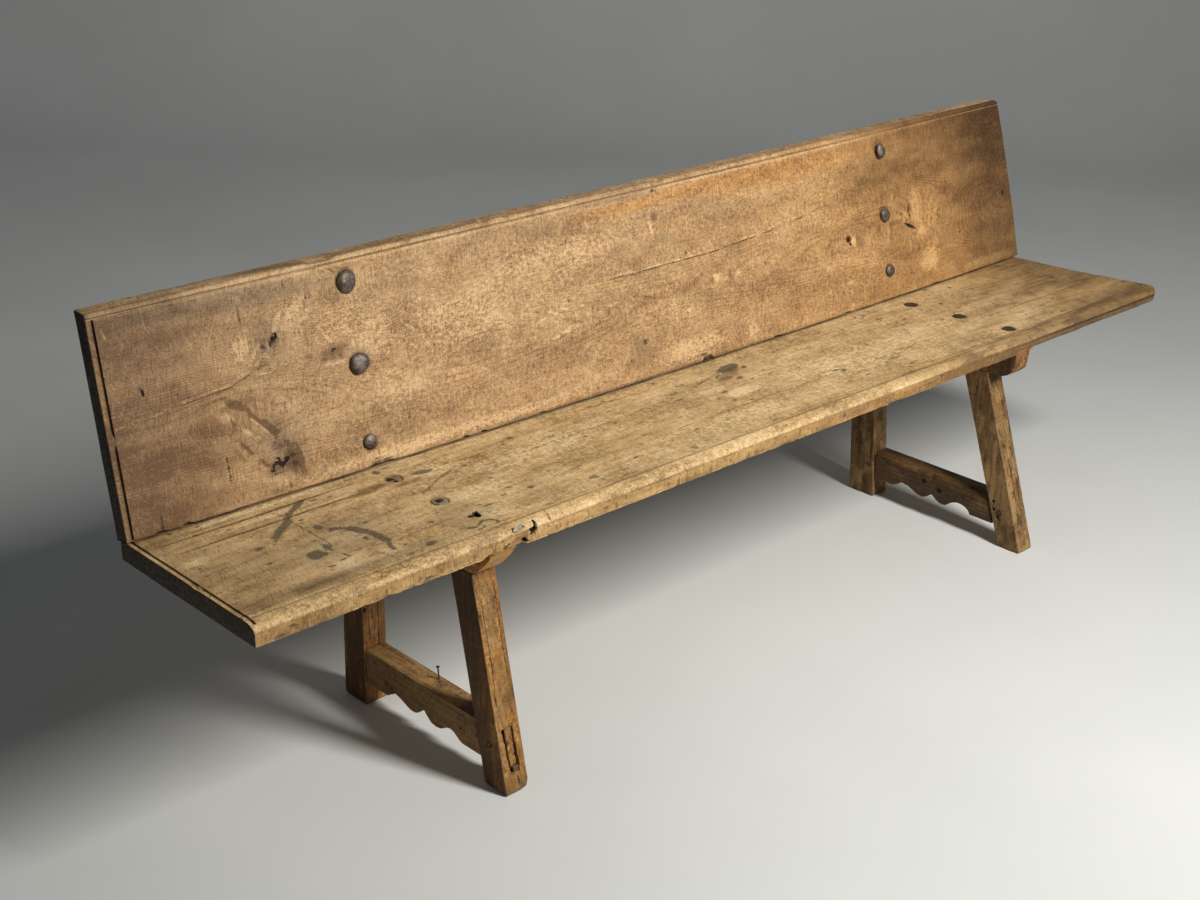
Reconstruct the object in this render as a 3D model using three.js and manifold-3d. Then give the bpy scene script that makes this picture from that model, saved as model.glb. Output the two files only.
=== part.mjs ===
// A long plank bench with a leaning back board, carried by two pegged trestles.
// Millimetres, +Z up. The bench faces -Y and its length runs along X.
// It is drawn about the back line, where the board's face meets the seat (y = 0), with the floor at
// z = 0, and is moved at the end so that the origin is in the middle of its footprint.

import * as THREE from 'three';
import { mergeVertices } from 'three/addons/utils/BufferGeometryUtils.js';
import Module from 'manifold-3d';

const wasm = await Module();
wasm.setup();

// Fits
const fit = 0.3; // gap between pieces that are cut to each other
const overrun = 12; // how far a cutting solid runs past what it cuts
const roundSides = 16; // sides of a nail's head
const pegSides = 8; // a peg is whittled, not turned
const wireSides = 8;
const shankSides = 4; // forged nails are square

// Seat plank
const seatHeight = 453;
const seatThickness = 35;
const seatDepth = 333; // from the back line to the front edge
const seatUnderBoard = 23; // how far the plank runs on under the back board
const seatLeftReach = 1125; // the left end, from the middle of the bench
const seatRightReach = 1105; // the right end, at the back
const seatRightFrontReach = 1156; // the right end is sawn askew and is longer at the front
const seatRightHollow = 8; // how far the right end is hollowed along its middle
const seatCornerCut = 18; // the worn front corner at the right end
const seatArrisLossHeight = 7; // the lower front arris is broken away past the right trestle
const seatArrisLossDepth = 15;
const seatArrisLossStart = 4; // from the right trestle
const fasciaHeight = 24; // flat band under the front moulding
const mouldingWidth = 26;
const mouldingStep = 1.6;
const mouldingSteps = 6;
const quirkWidth = 3;
const quirkDepth = 1.6;
const arrisCut = 2.5; // small chamfer along a plank's lower edge

// Groove that sets a bead along the left ends of both planks
const grooveWidth = 3.2;
const grooveDepth = 4;
const seatGrooveInset = 8.5;
const seatGrooveStop = 11; // stops short of the front edge
const boardGrooveInset = 11;
const boardGrooveStop = 9; // stops short of the top edge

// Back board
const boardLean = THREE.MathUtils.degToRad(12.58);
const boardHeight = 347; // up its slope, at the left end
const boardRightRise = 12.3; // how much higher its top edge is at the right end
const boardThickness = 32;
const boardBow = 16; // the board has warped: its middle stands this far forward of its ends
const boardGap = 1.8; // open joint between the board and the seat
const boardFootRoom = 1.2; // under its foot, where the seat is planed down to take it
const boardLeftReach = 1127;
const boardLeftTopReach = 1121;
const boardRightReach = 1116;
const boardRightTopReach = 1085;
const boardLeftCorner = 4;
const boardRightCorner = 20;
const boardRightBulge = 4.5; // the right end is bowed outwards
const cornerSteps = 4;
const bulgeSteps = 4;
const bowSteps = 16;
const boardTopFall = 6; // the top edge falls towards the front
const boardBeadHeight = 8; // rounded bead along the top of the face, over a quirk
const boardBeadDepth = 6.5;

// Timber of the trestles
const bearerHeight = 53;
const postTop = 326; // end of the post, up the back of the board
const postRakedDepth = 40; // post behind the board
const postHeelCut = 9; // worn corner under a rear foot
const tenonThickness = 15;
const tenonShoulder = 2; // tenon is this much lower than its rail, above and below
const tenonLength = 34; // blind tenons
const legTenonLength = 32;
const legTenonShoulder = 9;
const throughTenonSet = 2; // the through tenon ends this far inside the leg's face
const looseMortiseGap = 3; // worn gap beside the through tenon
const wedgeHeight = 8;
const wedgeSet = 1;
const rearPegBack = 14; // pegs of blind tenons, from the shoulder

// Pegs and nails
const pegDiameter = 8;
const pegSet = 1.2; // pegs have shrunk a little below the face
const backNailHead = 36;
const backNailCrown = 12;
const backNailLength = 66;
const backNailShank = 8;
const backNailLoose = 4; // how far a nail that has worked loose stands off
const seatNailHead = 27;
const seatNailCrown = 4;
const seatNailProud = 0.8;
const seatNailSettled = 1.5; // a nail that has drawn down into the seat
const seatNailPunched = 13; // a nail that was punched deep
const seatNailLength = 74;
const seatNailShank = 6;
const nailRim = 1.6;
const nailTipShare = 0.35; // width of the tip, of the shank's width
const domeSteps = 5;

// Later iron: a wire nail in the left stretcher and an old nail that shows in the seat's edge
const wireDiameter = 2.6;
const wireHeight = 23;
const wireRootDepth = 12;
const wireHeadDiameter = 6.5;
const wireHeadHeight = 1.4;
const wireBend = 1.6;
const wireSteps = 8;
const wireAcross = 35; // its foot, from the legs' left faces
const wireForward = 141; // and ahead of the back line
const edgeNailLength = 34;
const edgeNailWidth = 5;
const chipWidth = 50;
const chipHeight = 20;
const chipDepth = 13;
const chipLeft = 674; // left side of the chip, from the middle of the bench
const chipOverHead = 4.5; // wood left above the old nail

const leftTrestle = {
  side: 'left',
  faceX: -703.5, // left faces of its legs
  thickness: 49,
  footReach: 354.4, // front of the front foot, ahead of the back line
  legTopReach: 273.2,
  footDepth: 56.6,
  legTopDepth: 56.8,
  postFootY: 18.8, // front of the rear post, behind the back line
  postSeatY: 18.9,
  postFootDepth: 63.6,
  postSeatDepth: 53.4,
  noseReach: 52.3, // the bearer's nose, ahead of the leg
  noseLength: 60,
  // the bearer's nose, an ogee: shares of its length and height, from the top of its tip to the leg
  noseShares: [
    [0, 0], [0, 0.13], [0.1, 0.2], [0.2, 0.34], [0.34, 0.5],
    [0.5, 0.7], [0.68, 0.88], [0.85, 0.97], [1, 1],
  ],
  stretcherTop: 111,
  stretcherBottom: 46,
  stretcherThickness: 44,
  stretcherSet: 2, // behind the legs' left faces
  shoulderGap: fit,
  through: true,
  scallopHeight: 18,
  // lower edge, front to rear: shares of the clear length and of the scallop's height
  scallopShares: [
    [[0, 0], [0.16, 0]],
    [
      [0.16, 0], [0.185, 0.22], [0.215, 0.58], [0.245, 0.7], [0.275, 0.62],
      [0.31, 0.3], [0.35, 0.03], [0.4, 0.02], [0.435, 0.3], [0.477, 1],
    ],
    [[0.477, 1], [0.515, 0.42], [0.55, 0.1], [0.59, 0], [0.63, 0.18], [0.68, 0.5], [0.73, 0.72]],
    [[0.73, 0.72], [0.765, 0.4], [0.805, 0]],
  ],
  backNailUpShares: { top: 0.866, middle: 0.484, bottom: 0.114 },
  backNailAcrossShares: { top: 0.427, middle: 0.406, bottom: 0.327 },
  backNailHeadShares: { top: 1, middle: 0.97, bottom: 0.7 },
  backNailProud: { top: fit, middle: fit, bottom: fit },
  seatNailForwardShares: { rear: 0.188, middle: 0.533 },
  frontNailShare: 0.366, // the front nail is set by the leg: a share of its depth, from its front
  seatNailAcrossShares: { rear: 0.29, middle: 0.34, front: 0.48 },
  seatNailSunk: { rear: seatNailSettled, middle: 0, front: seatNailPunched },
  legPegShare: 0.5, // of the leg's depth, from its front
  toeCut: 1, // worn corner under the front foot
};

const rightTrestle = {
  side: 'right',
  faceX: 638.8,
  thickness: 48,
  footReach: 389.7,
  legTopReach: 266.7,
  footDepth: 55.4,
  legTopDepth: 61.2,
  postFootY: -9.5,
  postSeatY: 24.5,
  postFootDepth: 68.6,
  postSeatDepth: 57,
  noseReach: 65.8,
  noseLength: 30,
  // a plain sawn nose with a chamfer under it
  noseShares: [[0, 0], [0.13, 0.45], [0.24, 0.72], [0.6, 0.9], [1, 1]],
  stretcherTop: 104,
  stretcherBottom: 42,
  stretcherThickness: 44,
  stretcherSet: 2,
  shoulderGap: 3.5, // the joint has opened and shows its tenon
  through: false,
  scallopHeight: 17,
  scallopShares: [
    [[0, 0.08], [0.19, 0.08]],
    [
      [0.19, 0.08], [0.2, 0.62], [0.235, 0.95], [0.275, 1.04], [0.33, 0.72],
      [0.38, 0.15], [0.42, 0], [0.46, 0.22], [0.503, 0.88],
    ],
    [[0.503, 0.88], [0.54, 0.32], [0.597, 0], [0.65, 0.28], [0.705, 0.72], [0.758, 0.86]],
    [[0.758, 0.86], [0.8, 0.4], [0.845, 0.08]],
  ],
  backNailUpShares: { top: 0.878, middle: 0.496, bottom: 0.163 },
  backNailAcrossShares: { top: 0.2, middle: 0.2, bottom: 0.2 },
  backNailHeadShares: { top: 0.86, middle: 0.8, bottom: 0.7 },
  backNailProud: { top: backNailLoose, middle: fit, bottom: fit },
  seatNailForwardShares: { rear: 0.167, middle: 0.503 },
  frontNailShare: -0.207,
  seatNailAcrossShares: { rear: 0.28, middle: 0.586, front: 0.84 },
  seatNailSunk: { rear: 0, middle: 0, front: 0 },
  legPegShare: 0.64,
  toeCut: 5,
};

// Finishes
const finish = (values) => new THREE.MeshStandardMaterial(values);
const wood = (color, roughness) => finish({ color, roughness, metalness: 0 });
const iron = (color, roughness) => finish({ color, roughness, metalness: 0.8 });
const seatWood = () => wood(0x9c7a52, 0.72);
const boardWood = () => wood(0x94683f, 0.66);
const trestleWood = () => wood(0x7d5733, 0.74);
const pegWood = () => wood(0x5f4328, 0.8);
const forgedIron = () => iron(0x3a3431, 0.62);
const wireSteel = () => iron(0x4a4642, 0.5);

// From a closed geometry to a solid that can be cut, and back
function solidOf(geometry) {
  const bare = geometry.clone();
  bare.deleteAttribute('normal');
  bare.deleteAttribute('uv');
  const merged = mergeVertices(bare);
  return new wasm.Manifold(
    new wasm.Mesh({
      numProp: 3,
      vertProperties: new Float32Array(merged.attributes.position.array),
      triVerts: new Uint32Array(merged.index.array),
    }),
  );
}

function geometryOf(solid) {
  const mesh = solid.getMesh();
  const geometry = new THREE.BufferGeometry();
  const places = new Float32Array(mesh.vertProperties);
  geometry.setAttribute('position', new THREE.BufferAttribute(places, mesh.numProp));
  geometry.setIndex(new THREE.BufferAttribute(new Uint32Array(mesh.triVerts), 1));
  geometry.computeVertexNormals();
  return geometry;
}

function addPiece(group, name, solid, material) {
  const mesh = new THREE.Mesh(geometryOf(solid), material);
  mesh.name = name;
  group.add(mesh);
  return mesh;
}

// Straight prisms from an outline in one plane
const toPlane = {
  plan: new THREE.Matrix4(),
  side: new THREE.Matrix4().makeBasis(
    new THREE.Vector3(0, 1, 0),
    new THREE.Vector3(0, 0, 1),
    new THREE.Vector3(1, 0, 0),
  ),
  front: new THREE.Matrix4().makeBasis(
    new THREE.Vector3(1, 0, 0),
    new THREE.Vector3(0, 0, 1),
    new THREE.Vector3(0, -1, 0),
  ),
};

function prism(plane, points, from, to) {
  const shape = new THREE.Shape(points.map(([a, b]) => new THREE.Vector2(a, b)));
  const geometry = new THREE.ExtrudeGeometry(shape, { depth: to - from, bevelEnabled: false });
  geometry.translate(0, 0, from);
  geometry.applyMatrix4(toPlane[plane]);
  return solidOf(geometry);
}

// outline in (y, z), from x = from to x = to
const sidePrism = (points, from, to) => prism('side', points, from, to);
// outline in (x, z), from y = from to y = to
const frontPrism = (points, from, to) => prism('front', points, -to, -from);
// outline in (x, y), from z = from to z = to
const planPrism = (points, from, to) => prism('plan', points, from, to);

const between = (a, b, share) => a + (b - a) * share;

// Points of a quarter of an ellipse, from angle a to angle b
function ellipsePoints(centreA, centreB, radiusA, radiusB, fromTurn, toTurn, steps) {
  const points = [];
  for (let i = 0; i <= steps; i += 1) {
    const turn = between(fromTurn, toTurn, i / steps);
    points.push([centreA + radiusA * Math.cos(turn), centreB + radiusB * Math.sin(turn)]);
  }
  return points;
}

const quarter = Math.PI / 2;

// Heights that several pieces share
const seatBottom = seatHeight - seatThickness;
const bearerTop = seatBottom - fit;
const bearerBottom = seatBottom - bearerHeight;
const leanSlope = Math.tan(boardLean);
const boardFootZ = seatHeight + boardGap;

// Faces of a trestle's timbers at a height above the floor
const legFrontY = (t, z) => between(-t.footReach, -t.legTopReach, z / bearerBottom);
const legRearY = (t, z) => legFrontY(t, z) + between(t.footDepth, t.legTopDepth, z / bearerBottom);
const postFrontY = (t, z) => between(t.postFootY, t.postSeatY, z / seatBottom);
const postRearY = (t, z) => postFrontY(t, z) + between(t.postFootDepth, t.postSeatDepth, z / seatBottom);

// The board's own frame: x along it, y into its thickness, z up its slope
const boardFrame = new THREE.Matrix4()
  .makeTranslation(0, 0, boardFootZ)
  .multiply(new THREE.Matrix4().makeRotationX(-boardLean));

function boardPoint(into, up) {
  const p = new THREE.Vector3(0, into, up).applyMatrix4(boardFrame);
  return [p.y, p.z];
}

// The warp of the board, forward of its flat frame, and what follows from it
const boardBowAt = (x) => boardBow * (1 - (x / boardLeftReach) ** 2);
const boardTurnAt = (x) => Math.atan((2 * boardBow * x) / boardLeftReach ** 2);
const boardFootDrop = boardBow * leanSlope; // its foot is scribed to the seat, so it is wider there
const boardRiseAt = (x) => {
  const share = (x + boardLeftTopReach) / (boardLeftTopReach + boardRightTopReach);
  return boardRightRise * share;
};
const postInto = (t) => {
  const least = Math.min(boardBowAt(t.faceX), boardBowAt(t.faceX + t.thickness));
  return boardThickness - least + fit;
};
// front of a post where it comes up behind the board
const postShoulder = (t) => boardPoint(postInto(t), -boardFootDrop);

// Where a line through two points reaches the line through two others, all in (y, z)
function crossing([ay, az], [by, bz], [cy, cz], [dy, dz]) {
  const turn = (by - ay) * (dz - cz) - (bz - az) * (dy - cy);
  const share = ((cy - ay) * (dz - cz) - (cz - az) * (dy - cy)) / turn;
  return [between(ay, by, share), between(az, bz, share)];
}

// A forged nail stands on its point: the head is above z = 0 and the square shank tapers below
function nailShankSolid(width, length, above, gap) {
  const side = width / 2 + gap;
  const tip = (width / 2) * nailTipShare + gap;
  const profile = [[0, -length - gap], [tip, -length - gap], [side, 0], [side, above], [0, above]];
  const corners = profile.map(([halfSide, z]) => new THREE.Vector2(halfSide * Math.SQRT2, z));
  const geometry = new THREE.LatheGeometry(corners, shankSides);
  geometry.rotateY(quarter / 2);
  geometry.rotateX(quarter);
  return solidOf(geometry);
}

function nailSolid(head, crown, shank, length) {
  const radius = head / 2;
  const dome = ellipsePoints(0, nailRim, radius, crown - nailRim, 0, quarter, domeSteps).slice(0, -1);
  const profile = [[0, 0], [radius - nailRim, 0], ...dome, [0, crown]];
  const geometry = new THREE.LatheGeometry(profile.map(([r, h]) => new THREE.Vector2(r, h)), roundSides);
  geometry.rotateX(quarter);
  return solidOf(geometry).add(nailShankSolid(shank, length, crown / 2, 0));
}

// The hole that a nail leaves, with room for a head that is sunk below the face
function nailHoleSolid(shank, length, head, sunk) {
  const hole = nailShankSolid(shank, length, overrun, fit);
  if (sunk <= 0) {
    return hole;
  }
  const radius = head / 2 + fit;
  const geometry = new THREE.CylinderGeometry(radius, radius, sunk + fit + overrun, roundSides);
  geometry.rotateX(quarter);
  geometry.translate(0, 0, (sunk + overrun - fit) / 2);
  return hole.add(solidOf(geometry));
}

function pegSolid(diameter, fromX, toX, y, z) {
  const geometry = new THREE.CylinderGeometry(diameter / 2, diameter / 2, toX - fromX, pegSides);
  geometry.rotateZ(quarter);
  geometry.translate((fromX + toX) / 2, y, z);
  return solidOf(geometry);
}

// Nails of one trestle: where each stands, as a matrix in the frame of the plank that it holds
const backNails = (t) => Object.keys(t.backNailUpShares).map((row) => ({
  name: `back_nail_${t.side}_${row}`,
  head: backNailHead * t.backNailHeadShares[row],
  crown: backNailCrown * t.backNailHeadShares[row],
  x: t.faceX + t.thickness * t.backNailAcrossShares[row],
  z: boardHeight * t.backNailUpShares[row],
  proud: t.backNailProud[row],
}));

const seatNails = (t) => Object.keys(t.seatNailSunk).map((row) => ({
  name: `seat_nail_${t.side}_${row}`,
  x: t.faceX + t.thickness * t.seatNailAcrossShares[row],
  y: row === 'front'
    ? legFrontY(t, bearerBottom) + t.legTopDepth * t.frontNailShare
    : -seatDepth * t.seatNailForwardShares[row],
  sunk: seatNailCrown - seatNailProud + t.seatNailSunk[row],
}));

const backNailMatrix = (n) => new THREE.Matrix4()
  .makeTranslation(n.x, -boardBowAt(n.x) - n.proud, n.z)
  .multiply(new THREE.Matrix4().makeRotationZ(boardTurnAt(n.x)))
  .multiply(new THREE.Matrix4().makeRotationX(quarter));
const seatNailMatrix = (n) => new THREE.Matrix4().makeTranslation(n.x, n.y, seatHeight - n.sunk);

function placed(solid, matrix) {
  return solidOf(geometryOf(solid).applyMatrix4(matrix));
}

const backNailHole = (n) => placed(
  nailHoleSolid(backNailShank, backNailLength, 0, 0),
  backNailMatrix(n),
);
const seatNailHole = (n) => placed(
  nailHoleSolid(seatNailShank, seatNailLength - n.sunk, seatNailHead, n.sunk),
  seatNailMatrix(n),
);

// Seat plank: a moulded profile, cut to its outline in plan
function seatProfile() {
  const front = -seatDepth;
  const quirkBack = front + mouldingWidth;
  const mouldingFoot = seatBottom + fasciaHeight;
  const mouldingRise = seatHeight - mouldingFoot;
  const curve = ellipsePoints(
    quirkBack - quirkWidth / 2,
    mouldingFoot,
    mouldingWidth - quirkWidth / 2 - mouldingStep,
    mouldingRise - quirkDepth / 2,
    quarter,
    2 * quarter,
    mouldingSteps,
  );
  return [
    [seatUnderBoard, seatBottom],
    [seatUnderBoard, seatHeight],
    [quirkBack + quirkWidth / 2, seatHeight],
    [quirkBack, seatHeight - quirkDepth],
    ...curve,
    [front, mouldingFoot - mouldingStep],
    [front, seatBottom + arrisCut],
    [front + arrisCut, seatBottom],
  ];
}

function seatOutline() {
  const front = -seatDepth;
  return [
    [-seatLeftReach, seatUnderBoard],
    [-seatLeftReach, front],
    [seatRightFrontReach - seatCornerCut, front],
    [seatRightFrontReach, front + seatCornerCut],
    [(seatRightFrontReach + seatRightReach) / 2 - seatRightHollow, (front + seatUnderBoard) / 2],
    [seatRightReach, seatUnderBoard],
  ];
}

// What has broken away along the lower front arris, from the right trestle to the end
function arrisLoss() {
  const front = -seatDepth;
  const outline = [
    [front - overrun, seatBottom - overrun],
    [front + seatArrisLossDepth, seatBottom - overrun],
    [front + seatArrisLossDepth, seatBottom],
    [front, seatBottom + seatArrisLossHeight],
    [front - overrun, seatBottom + seatArrisLossHeight],
  ];
  const start = rightTrestle.faceX + rightTrestle.thickness + seatArrisLossStart;
  return sidePrism(outline, start, seatRightFrontReach + overrun);
}

// A ragged chip in the front edge, in shares of its width and height, seen from the front
const chipShares = [
  [0, 0.9], [0.14, 0.5], [0.3, 0.42], [0.42, 0.04], [0.66, 0.2], [0.8, 0.08],
  [1, 0.4], [0.93, 0.72], [0.7, 1], [0.38, 0.86], [0.2, 1],
];

function chipSolid() {
  const left = -chipLeft;
  const foot = seatHeight - mouldingStep - chipHeight;
  const outline = chipShares.map(([across, up]) => [left + chipWidth * across, foot + chipHeight * up]);
  return frontPrism(outline.reverse(), -seatDepth - overrun, -seatDepth + chipDepth);
}

const edgeNailZ = seatHeight - chipOverHead - edgeNailWidth;
const edgeNailMatrix = new THREE.Matrix4()
  .makeTranslation(-chipLeft + chipWidth / 2, -seatDepth + chipDepth / 2, edgeNailZ)
  .multiply(new THREE.Matrix4().makeRotationY(-quarter));

function seatSolid() {
  let solid = sidePrism(seatProfile(), -seatLeftReach, seatRightFrontReach);
  solid = solid.intersect(planPrism(seatOutline(), 0, seatHeight + overrun));
  const grooveLeft = -seatLeftReach + seatGrooveInset - grooveWidth / 2;
  solid = solid.subtract(
    planPrism(
      [
        [grooveLeft, -seatDepth + seatGrooveStop],
        [grooveLeft + grooveWidth, -seatDepth + seatGrooveStop],
        [grooveLeft + grooveWidth, seatUnderBoard + overrun],
        [grooveLeft, seatUnderBoard + overrun],
      ],
      seatHeight - grooveDepth,
      seatHeight + overrun,
    ),
  );
  for (const t of [leftTrestle, rightTrestle]) {
    for (const n of seatNails(t)) {
      solid = solid.subtract(seatNailHole(n));
    }
    // the post is let into the plank's back edge where it stands in its way
    const [shoulderY] = postShoulder(t);
    const notch = Math.min(postFrontY(t, seatBottom), shoulderY) - fit;
    solid = solid.subtract(
      sidePrism(
        [
          [notch, seatBottom - overrun],
          [seatUnderBoard + overrun, seatBottom - overrun],
          [seatUnderBoard + overrun, seatHeight + overrun],
          [notch, seatHeight + overrun],
        ],
        t.faceX - fit,
        t.faceX + t.thickness + fit,
      ),
    );
  }
  const half = edgeNailLength / 2;
  const edgeNailHole = placed(nailShankSolid(edgeNailWidth, half, half + fit, fit), edgeNailMatrix);
  return solid
    .subtract(placed(boardRoom(), boardFrame))
    .subtract(arrisLoss())
    .subtract(chipSolid())
    .subtract(edgeNailHole);
}

// A solid that follows the warp of the board, from an outline in (y, z) of the board's frame. What lies
// in its upper half climbs with the top edge, and the rest stays along the seat.
function bowedSolid(points) {
  const shape = new THREE.Shape(points.map(([a, b]) => new THREE.Vector2(a, b)));
  const from = -boardLeftReach - overrun;
  const depth = boardRightReach + boardRightBulge + overrun - from;
  const geometry = new THREE.ExtrudeGeometry(shape, { depth, steps: bowSteps, bevelEnabled: false });
  geometry.translate(0, 0, from);
  geometry.applyMatrix4(toPlane.side);
  const places = geometry.attributes.position;
  for (let i = 0; i < places.count; i += 1) {
    const x = places.getX(i);
    const z = places.getZ(i);
    const bow = boardBowAt(x);
    const lift = z > boardHeight / 2 ? boardRiseAt(x) : -bow * leanSlope;
    places.setXYZ(i, x, places.getY(i) - bow, z + lift);
  }
  return solidOf(geometry);
}

// The room that the seat leaves for the board's foot
const boardRoom = () => bowedSolid([
  [-overrun, -boardFootRoom],
  [boardThickness + boardBow + overrun, -boardFootRoom],
  [boardThickness + boardBow + overrun, 2 * overrun],
  [-overrun, 2 * overrun],
]);

// Back board, in its own frame
function boardProfile() {
  const beadFoot = boardHeight - boardTopFall - boardBeadHeight;
  const bead = [boardBeadDepth, beadFoot, boardBeadDepth, boardBeadHeight];
  return [
    [0, 0],
    [boardThickness, 0],
    [boardThickness, boardHeight],
    ...ellipsePoints(...bead, quarter, 2 * quarter, cornerSteps),
    [quirkDepth, beadFoot - quirkWidth / 2],
    [0, beadFoot - quirkWidth],
  ];
}

function boardOutline() {
  const [leftX, leftZ] = [-boardLeftTopReach, boardHeight];
  const [rightX, rightZ] = [boardRightTopReach, boardHeight + boardRightRise];
  const endTop = rightZ - boardRightCorner;
  const end = [];
  for (let i = 0; i < bulgeSteps; i += 1) {
    const share = i / bulgeSteps;
    const bulge = 4 * share * (1 - share) * boardRightBulge;
    end.push([between(boardRightReach, rightX, share) + bulge, endTop * share]);
  }
  const right = [rightX - boardRightCorner, endTop, boardRightCorner, boardRightCorner];
  const left = [leftX + boardLeftCorner, leftZ - boardLeftCorner, boardLeftCorner, boardLeftCorner];
  return [
    [-boardLeftReach, -overrun],
    [boardRightReach, -overrun],
    ...end,
    ...ellipsePoints(...right, 0, quarter, cornerSteps),
    [rightX - boardRightCorner, rightZ + overrun],
    [leftX + boardLeftCorner, leftZ + overrun],
    ...ellipsePoints(...left, quarter, 2 * quarter, cornerSteps),
  ];
}

function boardSolid() {
  const ends = frontPrism(boardOutline(), -boardBow - overrun, boardThickness + overrun);
  let solid = bowedSolid(boardProfile()).intersect(ends);
  const grooveTop = boardHeight - boardGrooveStop;
  const footX = -boardLeftReach + boardGrooveInset;
  const topX = footX + (boardLeftReach - boardLeftTopReach) * (grooveTop / boardHeight);
  const half = grooveWidth / 2;
  const grooveOutline = [
    [footX - half, -overrun],
    [footX + half, -overrun],
    [topX + half, grooveTop],
    [topX - half, grooveTop],
  ];
  solid = solid.subtract(frontPrism(grooveOutline, -overrun, grooveDepth));
  for (const t of [leftTrestle, rightTrestle]) {
    for (const n of backNails(t)) {
      solid = solid.subtract(backNailHole(n));
    }
  }
  return solid;
}

// Rear post: upright below the seat, raked behind the board
function postSolid(t) {
  const faceInto = postInto(t);
  const rearInto = faceInto + postRakedDepth;
  const rear = crossing(
    [postRearY(t, 0), 0],
    [postRearY(t, seatBottom), seatBottom],
    boardPoint(rearInto, 0),
    boardPoint(rearInto, postTop),
  );
  const outline = [
    [postFrontY(t, 0), 0],
    [postRearY(t, 0) - postHeelCut, 0],
    [postRearY(t, postHeelCut), postHeelCut],
    rear,
    boardPoint(rearInto, postTop),
    boardPoint(faceInto, postTop),
    postShoulder(t),
    [postFrontY(t, seatBottom), seatBottom],
  ];
  return sidePrism(outline, 0, t.thickness);
}

// A box between two sloping faces, which are given as functions of the height
const railSolid = (frontY, rearY, bottom, top, fromX, toX) => sidePrism(
  [[frontY(bottom), bottom], [rearY(bottom), bottom], [rearY(top), top], [frontY(top), top]],
  fromX,
  toX,
);

const tenonX = (t) => (t.thickness - tenonThickness) / 2;

// Front leg's tenon, which stands up into the bearer
function legTenon(t, gap) {
  const front = legFrontY(t, bearerBottom) + legTenonShoulder;
  const rear = legRearY(t, bearerBottom) - legTenonShoulder;
  return railSolid(
    () => front - gap,
    () => rear + gap,
    bearerBottom - overrun,
    bearerBottom + legTenonLength + gap,
    tenonX(t) - gap,
    tenonX(t) + tenonThickness + gap,
  );
}

// Bearer's tenon, which runs back into the rear post
const bearerShoulder = (t) => (z) => postFrontY(t, z) - fit;
const bearerTenon = (t, gap) => railSolid(
  (z) => bearerShoulder(t)(z) - overrun,
  (z) => bearerShoulder(t)(z) + tenonLength + gap,
  bearerBottom + legTenonShoulder - gap,
  bearerTop - legTenonShoulder + gap,
  tenonX(t) - gap,
  tenonX(t) + tenonThickness + gap,
);

// Stretcher's tenons
const frontShoulder = (t) => (z) => legRearY(t, z) + t.shoulderGap;
const rearShoulder = (t) => (z) => postFrontY(t, z) - fit;

function frontTenonEnd(t) {
  if (t.through) {
    return (z) => legFrontY(t, z) + throughTenonSet;
  }
  return (z) => legRearY(t, z) - tenonLength;
}

const frontTenon = (t) => railSolid(
  frontTenonEnd(t),
  (z) => frontShoulder(t)(z) + overrun,
  t.stretcherBottom + t.scallopHeight / 2,
  t.stretcherTop - tenonShoulder,
  tenonX(t),
  tenonX(t) + tenonThickness,
);

function frontMortise(t) {
  const side = t.through ? looseMortiseGap : fit;
  const under = t.through ? wedgeHeight + 2 * fit : fit;
  const end = frontTenonEnd(t);
  const past = t.through ? overrun : fit;
  return railSolid(
    (z) => end(z) - past,
    (z) => legRearY(t, z) + overrun,
    t.stretcherBottom + t.scallopHeight / 2 - under,
    t.stretcherTop - tenonShoulder + fit,
    tenonX(t) - side,
    tenonX(t) + tenonThickness + side,
  );
}

// The wedge that tightens the through tenon from below
function wedgeSolid(t) {
  const bottom = t.stretcherBottom + t.scallopHeight / 2 - fit - wedgeHeight;
  return railSolid(
    (z) => legFrontY(t, z) + wedgeSet,
    (z) => legRearY(t, z) - wedgeSet,
    bottom,
    bottom + wedgeHeight,
    tenonX(t),
    tenonX(t) + tenonThickness + looseMortiseGap - fit,
  );
}

const rearTenon = (t, gap) => railSolid(
  (z) => rearShoulder(t)(z) - overrun,
  (z) => rearShoulder(t)(z) + tenonLength + gap,
  t.stretcherBottom + tenonShoulder - gap,
  t.stretcherTop - tenonShoulder + gap,
  tenonX(t) - gap,
  tenonX(t) + tenonThickness + gap,
);

// Pegs that lock the joints of a trestle
function pegPlaces(t) {
  const stretcherMiddle = (t.stretcherTop + t.stretcherBottom) / 2;
  const bearerMiddle = (bearerTop + bearerBottom) / 2;
  const legY = between(legFrontY(t, stretcherMiddle), legRearY(t, stretcherMiddle), t.legPegShare);
  const legTopY = (legFrontY(t, bearerBottom) + legRearY(t, bearerBottom)) / 2;
  return {
    stretcher_front: [legY, stretcherMiddle],
    stretcher_rear: [rearShoulder(t)(stretcherMiddle) + rearPegBack, stretcherMiddle],
    bearer_front: [legTopY, bearerBottom + legTenonLength / 2],
    bearer_rear: [bearerShoulder(t)(bearerMiddle) + rearPegBack, bearerMiddle],
  };
}

const pegHole = (t, [y, z]) => pegSolid(pegDiameter + 2 * fit, -overrun, t.thickness + overrun, y, z);

function cutPegs(t, solid, names) {
  const places = pegPlaces(t);
  return names.reduce((left, name) => left.subtract(pegHole(t, places[name])), solid);
}

// The seat's nails run down into the bearer, and one into the leg's tenon
function cutSeatNails(t, solid) {
  const toTrestle = new THREE.Matrix4().makeTranslation(-t.faceX, 0, 0);
  return seatNails(t).reduce((left, n) => left.subtract(placed(seatNailHole(n), toTrestle)), solid);
}

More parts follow.
